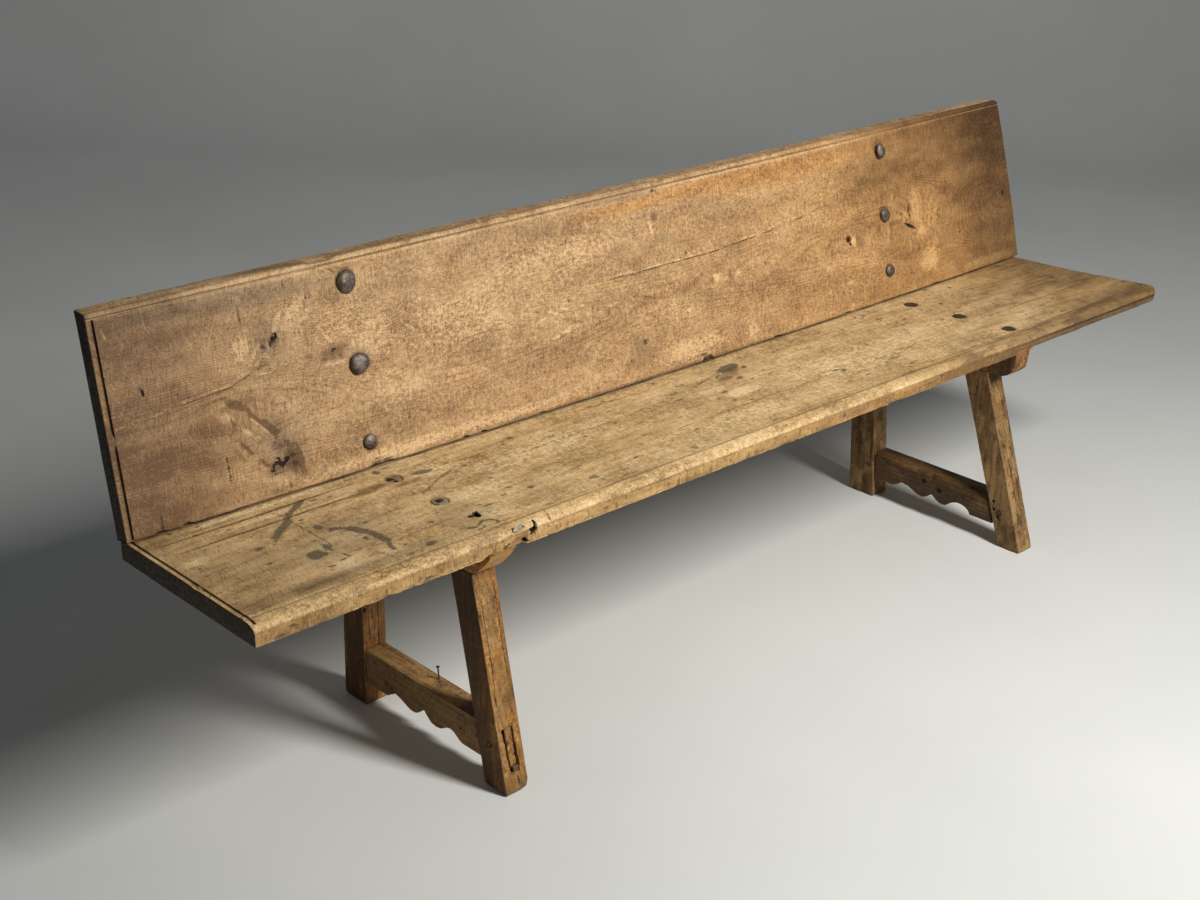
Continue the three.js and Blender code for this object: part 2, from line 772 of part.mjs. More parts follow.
function frontLegSolid(t) {
  const top = bearerBottom - fit;
  const outline = [
    [legFrontY(t, t.toeCut), t.toeCut],
    [legFrontY(t, 0) + t.toeCut, 0],
    [legRearY(t, 0), 0],
    [legRearY(t, top), top],
    [legFrontY(t, top), top],
  ];
  const solid = sidePrism(outline, 0, t.thickness).add(legTenon(t, 0)).subtract(frontMortise(t));
  return cutPegs(t, cutSeatNails(t, solid), ['stretcher_front', 'bearer_front']);
}

function rearPostSolid(t) {
  let solid = postSolid(t).subtract(bearerTenon(t, fit)).subtract(rearTenon(t, fit));
  const toTrestle = new THREE.Matrix4().makeTranslation(-t.faceX, 0, 0);
  for (const n of backNails(t)) {
    solid = solid.subtract(placed(backNailHole(n), toTrestle.clone().multiply(boardFrame)));
  }
  return cutPegs(t, solid, ['stretcher_rear', 'bearer_rear']);
}

function bearerSolid(t) {
  const tip = -t.legTopReach - t.noseReach;
  const height = bearerTop - bearerBottom;
  const nose = t.noseShares.map(([along, down]) => [
    tip + t.noseLength * along,
    bearerTop - height * down,
  ]);
  const shoulder = bearerShoulder(t);
  const outline = [
    ...nose,
    [shoulder(bearerBottom), bearerBottom],
    [shoulder(bearerTop), bearerTop],
  ];
  const solid = sidePrism(outline, 0, t.thickness).add(bearerTenon(t, 0)).subtract(legTenon(t, fit));
  return cutPegs(t, cutSeatNails(t, solid), ['bearer_front', 'bearer_rear']);
}

function wireHole() {
  const geometry = new THREE.CylinderGeometry(
    wireDiameter / 2 + fit,
    wireDiameter / 2 + fit,
    wireRootDepth + fit + overrun,
    wireSides,
  );
  geometry.rotateX(quarter);
  const middleZ = leftTrestle.stretcherTop + (overrun - wireRootDepth - fit) / 2;
  geometry.translate(wireAcross, -wireForward, middleZ);
  return solidOf(geometry);
}

function wireNailSolid() {
  const path = new THREE.CatmullRomCurve3([
    new THREE.Vector3(0, 0, -wireRootDepth),
    new THREE.Vector3(0, 0, 0),
    new THREE.Vector3(0, wireBend / 2, wireHeight / 2),
    new THREE.Vector3(-wireBend, 0, wireHeight),
  ]);
  const section = new THREE.Shape(
    ellipsePoints(0, 0, wireDiameter / 2, wireDiameter / 2, 0, 4 * quarter, wireSides)
      .slice(1)
      .map(([a, b]) => new THREE.Vector2(a, b)),
  );
  const shank = new THREE.ExtrudeGeometry(section, { steps: wireSteps, extrudePath: path });
  const headRadius = wireHeadDiameter / 2;
  const head = new THREE.CylinderGeometry(headRadius, headRadius, wireHeadHeight, roundSides);
  const up = path.getTangent(1);
  head.applyQuaternion(new THREE.Quaternion().setFromUnitVectors(new THREE.Vector3(0, 1, 0), up));
  head.translate(-wireBend, 0, wireHeight);
  return solidOf(shank).add(solidOf(head));
}

// Stretcher with its scalloped lower edge
function scallopPoints(t) {
  const points = [];
  for (const run of t.scallopShares) {
    const curve = new THREE.SplineCurve(run.map(([along, up]) => new THREE.Vector2(along, up)));
    const steps = run.length > 2 ? 2 * (run.length - 1) : 1;
    for (const p of curve.getPoints(steps).slice(points.length > 0 ? 1 : 0)) {
      points.push(p);
    }
  }
  points.push(new THREE.Vector2(1, t.scallopShares.at(-1).at(-1)[1]));
  return points.map((p) => {
    const z = t.stretcherBottom + t.scallopHeight * p.y;
    return [between(frontShoulder(t)(z), rearShoulder(t)(z), p.x), z];
  });
}

function stretcherSolid(t) {
  const top = t.stretcherTop;
  const outline = [...scallopPoints(t), [rearShoulder(t)(top), top], [frontShoulder(t)(top), top]];
  let solid = sidePrism(outline, t.stretcherSet, t.stretcherSet + t.stretcherThickness);
  solid = solid.add(frontTenon(t)).add(rearTenon(t, 0));
  solid = cutPegs(t, solid, ['stretcher_front', 'stretcher_rear']);
  return t === leftTrestle ? solid.subtract(wireHole()) : solid;
}

// Assembly
const bench = new THREE.Group();

addPiece(bench, 'seat_plank', seatSolid(), seatWood());

const back = new THREE.Group();
back.applyMatrix4(boardFrame);
bench.add(back);
addPiece(back, 'back_board', boardSolid(), boardWood());

for (const t of [leftTrestle, rightTrestle]) {
  const trestle = new THREE.Group();
  trestle.position.x = t.faceX;
  bench.add(trestle);
  addPiece(trestle, `front_leg_${t.side}`, frontLegSolid(t), trestleWood());
  addPiece(trestle, `rear_post_${t.side}`, rearPostSolid(t), trestleWood());
  addPiece(trestle, `bearer_${t.side}`, bearerSolid(t), trestleWood());
  addPiece(trestle, `stretcher_${t.side}`, stretcherSolid(t), trestleWood());
  if (t.through) {
    addPiece(trestle, `tenon_wedge_${t.side}`, wedgeSolid(t), pegWood());
  }
  for (const [joint, [y, z]] of Object.entries(pegPlaces(t))) {
    const peg = pegSolid(pegDiameter, pegSet, t.thickness - pegSet, y, z);
    addPiece(trestle, `peg_${joint}_${t.side}`, peg, pegWood());
  }
  for (const n of backNails(t)) {
    const nail = nailSolid(n.head, n.crown, backNailShank, backNailLength);
    addPiece(back, n.name, nail, forgedIron()).applyMatrix4(backNailMatrix(n));
  }
  for (const n of seatNails(t)) {
    const nail = nailSolid(seatNailHead, seatNailCrown, seatNailShank, seatNailLength - n.sunk);
    addPiece(bench, n.name, nail, forgedIron()).applyMatrix4(seatNailMatrix(n));
  }
}

const wireNail = addPiece(bench, 'wire_nail', wireNailSolid(), wireSteel());
wireNail.position.set(leftTrestle.faceX + wireAcross, -wireForward, leftTrestle.stretcherTop);

const edgeNail = nailShankSolid(edgeNailWidth, edgeNailLength / 2, edgeNailLength / 2, 0);
addPiece(bench, 'edge_nail', edgeNail, forgedIron()).applyMatrix4(edgeNailMatrix);

const box = new THREE.Box3().setFromObject(bench);
const middle = box.getCenter(new THREE.Vector3());
bench.position.set(-middle.x, -middle.y, -box.min.z);

export default bench;
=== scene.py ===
import math

import bpy
import numpy as np
from mathutils import Matrix, Vector


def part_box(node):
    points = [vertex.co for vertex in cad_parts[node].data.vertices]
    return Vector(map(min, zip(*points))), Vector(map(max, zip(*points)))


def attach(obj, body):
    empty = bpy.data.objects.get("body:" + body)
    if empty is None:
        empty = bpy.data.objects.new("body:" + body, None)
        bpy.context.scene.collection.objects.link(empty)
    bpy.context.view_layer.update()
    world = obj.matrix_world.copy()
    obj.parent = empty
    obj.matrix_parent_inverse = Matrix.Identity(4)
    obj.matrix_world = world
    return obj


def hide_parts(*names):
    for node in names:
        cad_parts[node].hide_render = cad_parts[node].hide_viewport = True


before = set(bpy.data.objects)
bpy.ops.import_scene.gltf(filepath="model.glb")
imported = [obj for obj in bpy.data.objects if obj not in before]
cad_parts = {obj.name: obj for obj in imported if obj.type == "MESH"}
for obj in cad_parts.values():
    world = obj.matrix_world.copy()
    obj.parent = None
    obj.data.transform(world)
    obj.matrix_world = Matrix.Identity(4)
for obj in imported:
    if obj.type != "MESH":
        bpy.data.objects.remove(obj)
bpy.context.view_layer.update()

# Sizes are in millimetres in the bench's own frame: x from its middle, y back from the line where the
# board meets the seat, z up from the floor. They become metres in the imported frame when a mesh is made.
MM = 0.001

# Seat plank: a moulding runs along its front, behind a quirk, and a groove crosses its left end
SEAT_LEFT = -1125.0
SEAT_FRONT = -333.0
SEAT_REAR = 23.0
SEAT_TOP = 453.0
SEAT_BOTTOM = 418.0
SEAT_RIGHT_REAR = 1105.0
SEAT_RIGHT_FRONT = 1156.0
SEAT_CORNER = 18.0
MOULDING_WIDTH = 26.0
MOULDING_FOOT = 442.0
QUIRK = 3.0
SEAT_END_RADIUS = 1.6
SEAT_GROOVE = -1116.5
GROOVE_DEPTH = 4.2
SEAT_ARRIS_LOSS = 6.5
PUNCHED = 5.0  # a nail sunk deeper than this was punched into the wood

# Back board: its ends slope, its top rises to the right, and it has bowed forward in the middle
LEAN = math.radians(12.58)
BOARD_FOOT = 454.8
BOARD_HEIGHT = 347.0
BOARD_RISE = 12.3
BOARD_THICKNESS = 32.0
BOARD_BOW = 16.0
BOARD_LEFT = (-1127.0, -1121.0)
BOARD_RIGHT = (1116.0, 1085.0)
BOARD_BULGE = 4.5
BOARD_END_RADIUS = 2.6
BEAD_FOOT = 331.0
BOARD_LEFT_CORNER = 4.0
BOARD_RIGHT_CORNER = 20.0
PLANK_STEP = 4.0  # largest distance between the mesh's stations along both planks

# Trestles
POST_TOP = 326.0
POST_DEPTH = 40.0
BEARER_TOP = 417.7
BEARER_BOTTOM = 365.0
STRETCHER_SET = 2.0  # how far a stretcher lies in from its legs' left sides
LEG_TOP = 364.7

seat_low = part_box("seat_plank")[0]
ORIGIN = np.array([seat_low[0] - SEAT_LEFT * MM, seat_low[1] - SEAT_FRONT * MM, 0.0])


# Noise, soft marks and outlines
def lattice(ix, iy, iz, seed):
    """A fixed random number from 0 to 1 for each cell corner."""
    h = (ix * 73856093) ^ (iy * 19349663) ^ (iz * 83492791) ^ (seed * 40503 + 977)
    h = ((h & 0xFFFFFFFF) * 1274126177) & 0xFFFFFFFF
    h = ((h ^ (h >> 15)) * 668265263) & 0xFFFFFFFF
    return ((h ^ (h >> 13)) & 0xFFFFFF) / 0xFFFFFF


def noise(p, cell, seed):
    """Smooth value noise from 0 to 1 at points p, with cells of the given size along x, y and z."""
    q = p / np.asarray(cell, float)
    i = np.floor(q).astype(np.int64)
    f = q - i
    f = f * f * (3 - 2 * f)
    total = np.zeros(p.shape[:-1])
    for dx in (0, 1):
        for dy in (0, 1):
            for dz in (0, 1):
                w = np.abs(1 - dx - f[..., 0]) * np.abs(1 - dy - f[..., 1]) * np.abs(1 - dz - f[..., 2])
                total += w * lattice(i[..., 0] + dx, i[..., 1] + dy, i[..., 2] + dz, seed)
    return total


def layered(p, cell, seed, layers=3):
    """Several sizes of noise together, from 0 to 1."""
    total = 0.0
    weight = 0.0
    for k in range(layers):
        total = total + noise(p, np.asarray(cell, float) / 2**k, seed + 17 * k) / 2**k
        weight += 1 / 2**k
    return total / weight


def smooth(a, b, x):
    """0 below a and 1 above b, with a smooth turn between."""
    t = np.clip((np.asarray(x, float) - a) / (b - a), 0, 1)
    return t * t * (3 - 2 * t)


def patchy(low, high, p, cell, seed, layers=3):
    """Patches with soft edges: 0 where the layered noise is below low, and 1 where it is above high."""
    return smooth(low, high, layered(p, cell, seed, layers))


def hump(d, width, power=2):
    """1 at d = 0, falling to nothing a few widths away."""
    return np.exp(-((d / width) ** power))


def oval(du, dv, half_u, half_v):
    """1 at the middle of a soft oval, falling to nothing a few half widths away."""
    return np.exp(-((du / half_u) ** 2 + (dv / half_v) ** 2))


def most(*fields):
    """The largest of some fields at each place."""
    out = fields[0]
    for field in fields[1:]:
        out = np.maximum(out, field)
    return out


def more(tones, **added):
    """Raises the named tones to at least the given strength."""
    for key, value in added.items():
        tones[key] = np.maximum(tones.get(key, 0), value)


def spaced(marks, step, fine=()):
    """Stations from the first to the last mark, that hit each mark, about step apart, and closer in the
    fine ranges (from, to, step)."""
    edges = sorted(set(marks) | {e for a, b, _ in fine for e in (a, b) if marks[0] < e < marks[-1]})
    out = [edges[0]]
    for a, b in zip(edges, edges[1:]):
        middle = (a + b) / 2
        size = min([step] + [s for f, t, s in fine if f <= middle <= t])
        n = max(1, math.ceil((b - a) / size - 1e-6))
        out += [a + (b - a) * (k + 1) / n for k in range(n)]
    return np.array(out)


def along(points, steps):
    """A polyline resampled with the given largest step for each of its runs."""
    out = []
    for (a, b), step in zip(zip(points, points[1:]), steps):
        a, b = np.array(a, float), np.array(b, float)
        n = max(1, math.ceil(np.linalg.norm(b - a) / step - 1e-6))
        out += [a + (b - a) * k / n for k in range(n)]
    return np.array(out)


def arc(cx, cy, rx, ry, start, end, steps):
    turns = np.radians(np.linspace(start, end, steps + 1))
    return [(cx + rx * math.cos(t), cy + ry * math.sin(t)) for t in turns]


def ring_normals(ring):
    """Outward normals of a counterclockwise closed ring of 2D points."""
    d = np.roll(ring, -1, 0) - np.roll(ring, 1, 0)
    n = np.stack([d[:, 1], -d[:, 0]], 1)
    return n / np.maximum(np.linalg.norm(n, axis=1, keepdims=True), 1e-9)


def blots(u, v, table):
    """The strongest of some soft ovals (u, v, half length, half width, strength, turn in degrees if any)."""
    out = np.zeros_like(u)
    for cu, cv, ru, rv, strength, *turn in table:
        near = (np.abs(u - cu) < 3 * max(ru, rv)) & (np.abs(v - cv) < 3 * max(ru, rv))
        du, dv = u[near] - cu, v[near] - cv
        turn = math.radians(*turn or [0])
        c, s = math.cos(turn), math.sin(turn)
        q = ((du * c + dv * s) / ru) ** 2 + ((dv * c - du * s) / rv) ** 2
        out[near] = np.maximum(out[near], strength * np.exp(-(q**1.5)))
    return out


def streaks(u, v, table):
    """The strongest of some soft lines (width, strength, (u, v), (u, v), ...)."""
    out = np.zeros_like(u)
    for width, strength, *points in table:
        for (au, av), (bu, bv) in zip(points, points[1:]):
            near = (u > min(au, bu) - 3 * width) & (u < max(au, bu) + 3 * width)
            near &= (v > min(av, bv) - 3 * width) & (v < max(av, bv) + 3 * width)
            du, dv = bu - au, bv - av
            t = np.clip(((u[near] - au) * du + (v[near] - av) * dv) / (du * du + dv * dv), 0, 1)
            d2 = (u[near] - au - t * du) ** 2 + (v[near] - av - t * dv) ** 2
            out[near] = np.maximum(out[near], strength * np.exp(-d2 / width**2))
    return out


def cracks(u, v, table):
    """For the nearest of some cracks (width, (u, v), (u, v), ...), which run along u: how far each point
    lies across it, and its half width there."""
    away = np.full(u.shape, 60.0)
    half = np.full(u.shape, -1.0)
    for width, *points in table:
        pu, pv = np.array(points, float).T
        wander = 1.6 * (noise(np.stack([u, u * 0, u * 0], -1), (17, 1, 1), int(abs(pu[0])) + 5) - 0.5)
        d = v - np.interp(u, pu, pv) - wander
        inside = np.minimum(u - pu[0], pu[-1] - u)
        w = width / 2 * np.clip(inside / (6 + 6 * width), -1, 1)
        nearer = (np.abs(d) < np.abs(away)) & (inside > -40)
        away = np.where(nearer, d, away)
        half = np.where(nearer, w, half)
    return away, half


def polygon_depth(u, v, corners):
    """Signed distance to a polygon's outline, positive inside."""
    inside = np.zeros(u.shape, bool)
    d = np.full(u.shape, 1e3)
    for (au, av), (bu, bv) in zip(corners, corners[1:] + corners[:1]):
        cross = (av > v) != (bv > v)
        at = (bu - au) * (v - av) / ((bv - av) or 1e-9) + au
        inside ^= cross & (u < at)
        t = np.clip(((u - au) * (bu - au) + (v - av) * (bv - av)) / ((bu - au) ** 2 + (bv - av) ** 2), 0, 1)
        d = np.minimum(d, np.hypot(u - au - t * (bu - au), v - av - t * (bv - av)))
    return np.where(inside, d, -d)


# Meshes
def tube(rings):
    """A closed mesh from rings of points (stations, around, 3)."""
    n, m = rings.shape[:2]
    i, k = np.meshgrid(np.arange(n - 1), np.arange(m), indexing="ij")
    j = (k + 1) % m
    quads = np.stack([i * m + k, i * m + j, (i + 1) * m + j, (i + 1) * m + k], -1).reshape(-1, 4)
    faces = quads.tolist() + [list(range(m - 1, -1, -1)), list(range((n - 1) * m, n * m))]
    return {"points": rings.reshape(-1, 3), "faces": faces, "data": {}}


def faces_outward(shape):
    """Whether the faces look outwards, from the volume that the quads enclose."""
    points = shape["points"] - shape["points"].mean(0)
    quads = np.array([f for f in shape["faces"] if len(f) == 4])
    a, b, c, d = (points[quads[:, k]] for k in range(4))
    v = np.einsum("ij,ij->i", a, np.cross(b, c)) + np.einsum("ij,ij->i", a, np.cross(c, d))
    return v.sum() > 0


def piece(name, shape, material, nodes, sharp=35):
    """Makes the object, which stands for the named nodes and rides on the bench."""
    if not faces_outward(shape):
        shape["faces"] = [f[::-1] for f in shape["faces"]]
    mesh = bpy.data.meshes.new(name)
    mesh.from_pydata((shape["points"] * MM + ORIGIN).tolist(), [], shape["faces"])
    for key, values in shape["data"].items():
        kind = "FLOAT_VECTOR" if values.ndim == 2 else "FLOAT"
        attribute = mesh.attributes.new(key, kind, "POINT")
        field = "vector" if values.ndim == 2 else "value"
        attribute.data.foreach_set(field, np.ascontiguousarray(values, np.float32).ravel())
    mesh.shade_smooth()
    mesh.set_sharp_from_angle(angle=math.radians(sharp))
    mesh.materials.append(material)
    obj = bpy.data.objects.new(name, mesh)
    bpy.context.scene.collection.objects.link(obj)
    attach(obj, "root")
    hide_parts(*nodes)


# Materials
class Nodes:
    """Short ways to add and link shader nodes."""

    def __init__(self, material):
        material.use_nodes = True
        self.tree = material.node_tree
        self.tree.nodes.clear()

    def add(self, kind, **values):
        node = self.tree.nodes.new(kind)
        for key, value in values.items():
            setattr(node, key, value)
        return node

    def link(self, value, socket):
        if isinstance(value, bpy.types.NodeSocket):
            self.tree.links.new(value, socket)
        elif value is not None:
            socket.default_value = value

    def math(self, operation, a, b=None, c=None, clamp=False):
        node = self.add("ShaderNodeMath", operation=operation, use_clamp=clamp)
        for k, value in enumerate((a, b, c)):
            if value is not None:
                self.link(value, node.inputs[k])
        return node.outputs[0]

    def madd(self, a, b, c, clamp=False):
        return self.math("MULTIPLY_ADD", a, b, c, clamp)

    def times(self, a, b, clamp=False):
        return self.math("MULTIPLY", a, b, clamp=clamp)

    def less(self, a, b):
        return self.math("SUBTRACT", a, b)

    def most(self, a, b):
        return self.math("MAXIMUM", a, b)

    def attribute(self, name, vector=False):
        node = self.add("ShaderNodeAttribute", attribute_name=name)
        return node.outputs["Vector" if vector else "Fac"]

    def noise(self, vector, scale, detail, rough=0.55, turn=0.0, distortion=0.0):
        """Noise with the given number of cells per metre along x, y and z, once turned about z."""
        cells = self.add("ShaderNodeMapping", vector_type="TEXTURE")
        self.link(vector, cells.inputs["Vector"])
        cells.inputs["Scale"].default_value = [1 / s for s in scale]
        cells.inputs["Rotation"].default_value = (0, 0, math.radians(turn))
        node = self.add("ShaderNodeTexNoise")
        self.link(cells.outputs[0], node.inputs["Vector"])
        for key, value in (
            ("Scale", 1), ("Detail", detail), ("Roughness", rough), ("Distortion", distortion),
        ):
            node.inputs[key].default_value = value
        return node.outputs["Fac"]

    def ramp(self, value, low, high, out_low=0.0, out_high=1.0, kind="SMOOTHSTEP"):
        node = self.add("ShaderNodeMapRange", interpolation_type=kind)
        self.link(value, node.inputs["Value"])
        for key, number in zip(("From Min", "From Max", "To Min", "To Max"), (low, high, out_low, out_high)):
            node.inputs[key].default_value = number
        return node.outputs[0]

    def mix(self, share, a, b, blend="MIX"):
        node = self.add("ShaderNodeMix", data_type="RGBA", blend_type=blend)
        self.link(share, node.inputs["Factor"])
        for value, socket in ((a, node.inputs[6]), (b, node.inputs[7])):
            self.link((*value, 1.0) if isinstance(value, tuple) else value, socket)
        return node.outputs[2]

    def bump(self, height, distance, strength):
        node = self.add("ShaderNodeBump")
        self.link(height, node.inputs["Height"])
        node.inputs["Distance"].default_value = distance
        node.inputs["Strength"].default_value = strength
        return node.outputs[0]

    def finish(self, color, roughness, normal, metallic=None, specular=0.5):
        shader = self.add("ShaderNodeBsdfPrincipled")
        for value, name in (
            (color, "Base Color"), (roughness, "Roughness"), (normal, "Normal"), (metallic, "Metallic"),
            (specular, "Specular IOR Level"),
        ):
            self.link(value, shader.inputs[name])
        output = self.add("ShaderNodeOutputMaterial")
        self.tree.links.new(shader.outputs[0], output.inputs[0])


def wood_material(name, base, light, deep, stain, roughness, grainy=1.0, mottled=1.0, spots=0.3,
                  ringed=0.2, relief=1.0, scratched=0.3):
    """Old walnut. The grain attribute is (along, across, into the wood) in metres, bent round knots. The
    given tones are attributes too: pale, brown, warm, grey, dark, wear, dirt, black and cracks."""
    # Some tones carry painted light: dirt and brown also paint shade, wear also paints highlights, and black
    # paints the shade in holes, gaps and cracks.
    material = bpy.data.materials.new(name)
    n = Nodes(material)
    grain = n.attribute("grain", vector=True)
    broad = n.noise(grain, (4, 15, 15), 2.5, 0.5)
    streak = n.noise(grain, (5, 105, 105), 4, 0.65)
    mottle = n.noise(grain, (120, 165, 165), 5, 0.75)
    cloud = n.noise(grain, (22, 34, 34), 3, 0.55)
    fibres = n.noise(grain, (18, 420, 420), 4, 0.75)
    pores = n.noise(grain, (90, 900, 900), 2, 0.5)
    speck = n.noise(grain, (320, 400, 400), 3, 0.75)
    hue = n.noise(grain, (9, 30, 30), 5, 0.7)

    # growth rings, seen in patches
    wobble = n.madd(broad, 2.2, n.attribute("ring"))
    year = n.ramp(n.math("SINE", n.times(wobble, 6.283)), 0.1, 1.0)
    year = n.times(year, n.ramp(hue, 0.35, 0.6, 0.15, 1.0))

    # scratches along three directions across the grain, some dark and some light
    lines = []
    for turn, scale in ((66, (24, 400, 60)), (-61, (28, 430, 60)), (86, (36, 360, 60))):
        lines.append(n.noise(grain, scale, 2, 0.5, turn, distortion=0.25))
    cut = n.most(n.ramp(lines[0], 0.58, 0.68), n.ramp(lines[2], 0.58, 0.70))
    rubbed = n.most(n.ramp(lines[1], 0.57, 0.68), n.ramp(lines[2], 0.42, 0.31))
    scratches = n.less(rubbed, cut)

    tone = 0.5
    parts = (
        (broad, 0.95), (streak, 0.8 * grainy), (fibres, 1.1 * grainy),
        (mottle, 2.3 * mottled), (speck, 1.6 * mottled), (cloud, 0.9 * mottled),
    )
    for value, share in parts:
        tone = n.madd(n.less(value, 0.5), share, tone)
    tone = n.madd(year, -ringed, tone)
    tone = n.madd(scratches, scratched, tone)

    ragged = n.math("ADD", n.times(mottle, 0.6), n.times(speck, 0.2))
    ragged = n.less(n.madd(fibres, 0.2, ragged), 0.5)

    def shown(key, gain, low, high):
        """A given tone with a ragged edge."""
        value = n.attribute(key)
        edge = n.madd(ragged, gain, value)
        return n.times(n.ramp(edge, low, high), n.ramp(value, 0.02, 0.2))

    for key, share in (("pale", 0.42), ("brown", -0.45)):
        tone = n.madd(shown(key, 2.5, 0.2, 0.9), share, tone)
    # The wear tone lightens: real wear, and painted highlights along the back board's moulding.
    tone = n.madd(n.attribute("wear"), 0.4, tone)
    color = n.mix(n.ramp(tone, 0.0, 0.5, kind="LINEAR"), deep, base)
    color = n.mix(n.ramp(tone, 0.5, 1.0, kind="LINEAR"), color, light)
    for value, tint in (
        (n.ramp(hue, 0.45, 0.7, 0.0, 0.6), (1.0, 0.9, 0.78)),
        (shown("warm", 1.5, 0.1, 0.9), (1.04, 0.87, 0.62)),
        (shown("grey", 2.5, 0.1, 0.9), (0.66, 0.69, 0.76)),
    ):
        color = n.mix(value, color, n.mix(1.0, color, tint, "MULTIPLY"))
    color = n.mix(n.ramp(pores, 0.60, 0.72, 0.0, 0.45), color, stain)
    stained = shown("dark", 3.4, 0.33, 0.57)
    color = n.mix(n.times(stained, n.ramp(speck, 0.35, 0.65, 0.95, 0.72)), color, stain)
    for field, low in ((mottle, 0.64), (speck, 0.66)):
        color = n.mix(n.times(n.ramp(field, low, low + 0.1), spots), color, stain)
    # The dirt tone darkens towards a dark stain: real dirt, and painted shade in grooves, gaps, under parts
    # and where the light falls off.
    grime_and_shade = n.times(n.attribute("dirt"), n.ramp(mottle, 0.35, 0.6, 0.65, 1.0), clamp=True)
    color = n.mix(grime_and_shade, color, tuple(c * 0.3 for c in stain))

    gap = n.less(n.math("ABSOLUTE", n.attribute("crack")), n.attribute("crack_half"))
    gap = n.madd(ragged, 3.0, gap)
    open_crack = n.ramp(gap, -0.35, 0.45, 1.0, 0.0)
    open_crack = n.times(open_crack, n.ramp(n.attribute("crack_half"), 0.0, 0.15))
    # Open cracks and the black tone are painted near black: painted shade inside cracks, holes and gaps,
    # besides some black knots.
    black = n.most(open_crack, n.ramp(n.attribute("black"), 0.35, 0.75))
    color = n.mix(n.times(black, 0.94), color, (0.008, 0.005, 0.003))

    rough = n.ramp(mottle, 0.3, 0.7, roughness - 0.1, roughness + 0.14)
    rough = n.madd(stained, 0.12, rough)
    rough = n.madd(black, 0.3, rough, clamp=True)

    height = n.madd(speck, 0.6, n.madd(mottle, 1.0, n.times(fibres, 0.7)))
    height = n.madd(n.ramp(pores, 0.60, 0.72), -0.3, height)
    height = n.madd(black, -2.2, n.madd(scratches, 0.18, height))
    n.finish(color, rough, n.bump(height, 0.0011 * relief, 0.9), specular=0.3)
    return material


def iron_material(name, base, light, metallic):
    material = bpy.data.materials.new(name)
    n = Nodes(material)
    place = n.add("ShaderNodeTexCoord").outputs["Object"]
    pits = n.noise(place, (520, 520, 520), 5, 0.7)
    patches = n.noise(place, (90, 90, 90), 4, 0.6)
    color = n.mix(n.ramp(patches, 0.4, 0.65), base, light)
    color = n.mix(n.ramp(pits, 0.55, 0.7, 0.0, 0.8), color, (0.11, 0.045, 0.02))
    color = n.mix(n.times(n.attribute("wear"), 0.7), color, (0.27, 0.24, 0.21))
    color = n.mix(n.attribute("rust"), color, n.mix(patches, (0.035, 0.022, 0.016), (0.12, 0.08, 0.055)))
    color = n.mix(n.attribute("soil"), color, n.mix(pits, (0.20, 0.15, 0.095), (0.56, 0.43, 0.27)))
    # Painted highlight: a pale colour that stands in for the glint of bare iron.
    color = n.mix(n.attribute("bare"), color, (0.75, 0.71, 0.66))
    color = n.mix(n.attribute("black"), color, (0.006, 0.005, 0.004))
    rough = n.ramp(pits, 0.35, 0.7, 0.38, 0.72)
    shine = n.madd(n.attribute("soil"), -metallic, metallic, clamp=True)
    n.finish(color, rough, n.bump(pits, 0.0008, 0.7), shine)
    return material


seat_wood = wood_material(
    "seat_wood", (0.60, 0.415, 0.20), (0.92, 0.72, 0.43), (0.22, 0.138, 0.062), (0.085, 0.07, 0.046), 0.5,
    grainy=0.2, mottled=0.74, spots=0.25, ringed=0.12, relief=0.85, scratched=0.17,
)
back_wood = wood_material(
    "back_wood", (0.44, 0.275, 0.135), (0.74, 0.52, 0.285), (0.17, 0.092, 0.04), (0.04, 0.025, 0.016), 0.46,
    grainy=0.12, mottled=0.68, spots=0.16, ringed=0.17, relief=0.75, scratched=0.21,
)
leg_wood = wood_material(
    "trestle_wood", (0.30, 0.166, 0.058), (0.55, 0.33, 0.13), (0.095, 0.048, 0.018), (0.03, 0.018, 0.011),
    0.56, grainy=0.6, mottled=0.66, spots=0.12, scratched=0.12,
)
end_wood = wood_material(
    "peg_wood", (0.22, 0.12, 0.055), (0.40, 0.25, 0.13), (0.07, 0.037, 0.018), (0.02, 0.013, 0.01), 0.65,
)
iron = iron_material("forged_iron", (0.078, 0.060, 0.047), (0.185, 0.155, 0.125), 0.55)
wire = iron_material("wire_steel", (0.05, 0.045, 0.042), (0.10, 0.09, 0.08), 0.85)


def wood_data(grain, ring, **tones):
    """All the attributes that the wood materials read."""
    zero = np.zeros(len(grain))
    data = {key: zero for key in ("pale", "warm", "grey", "brown", "dark", "wear", "dirt", "black")}
    data.update(crack=zero + 50, crack_half=zero - 1)
    for key, value in tones.items():
        data[key] = value if key.startswith("crack") else np.clip(value, 0, 1)
    data.update(grain=grain * MM, ring=ring)
    return data


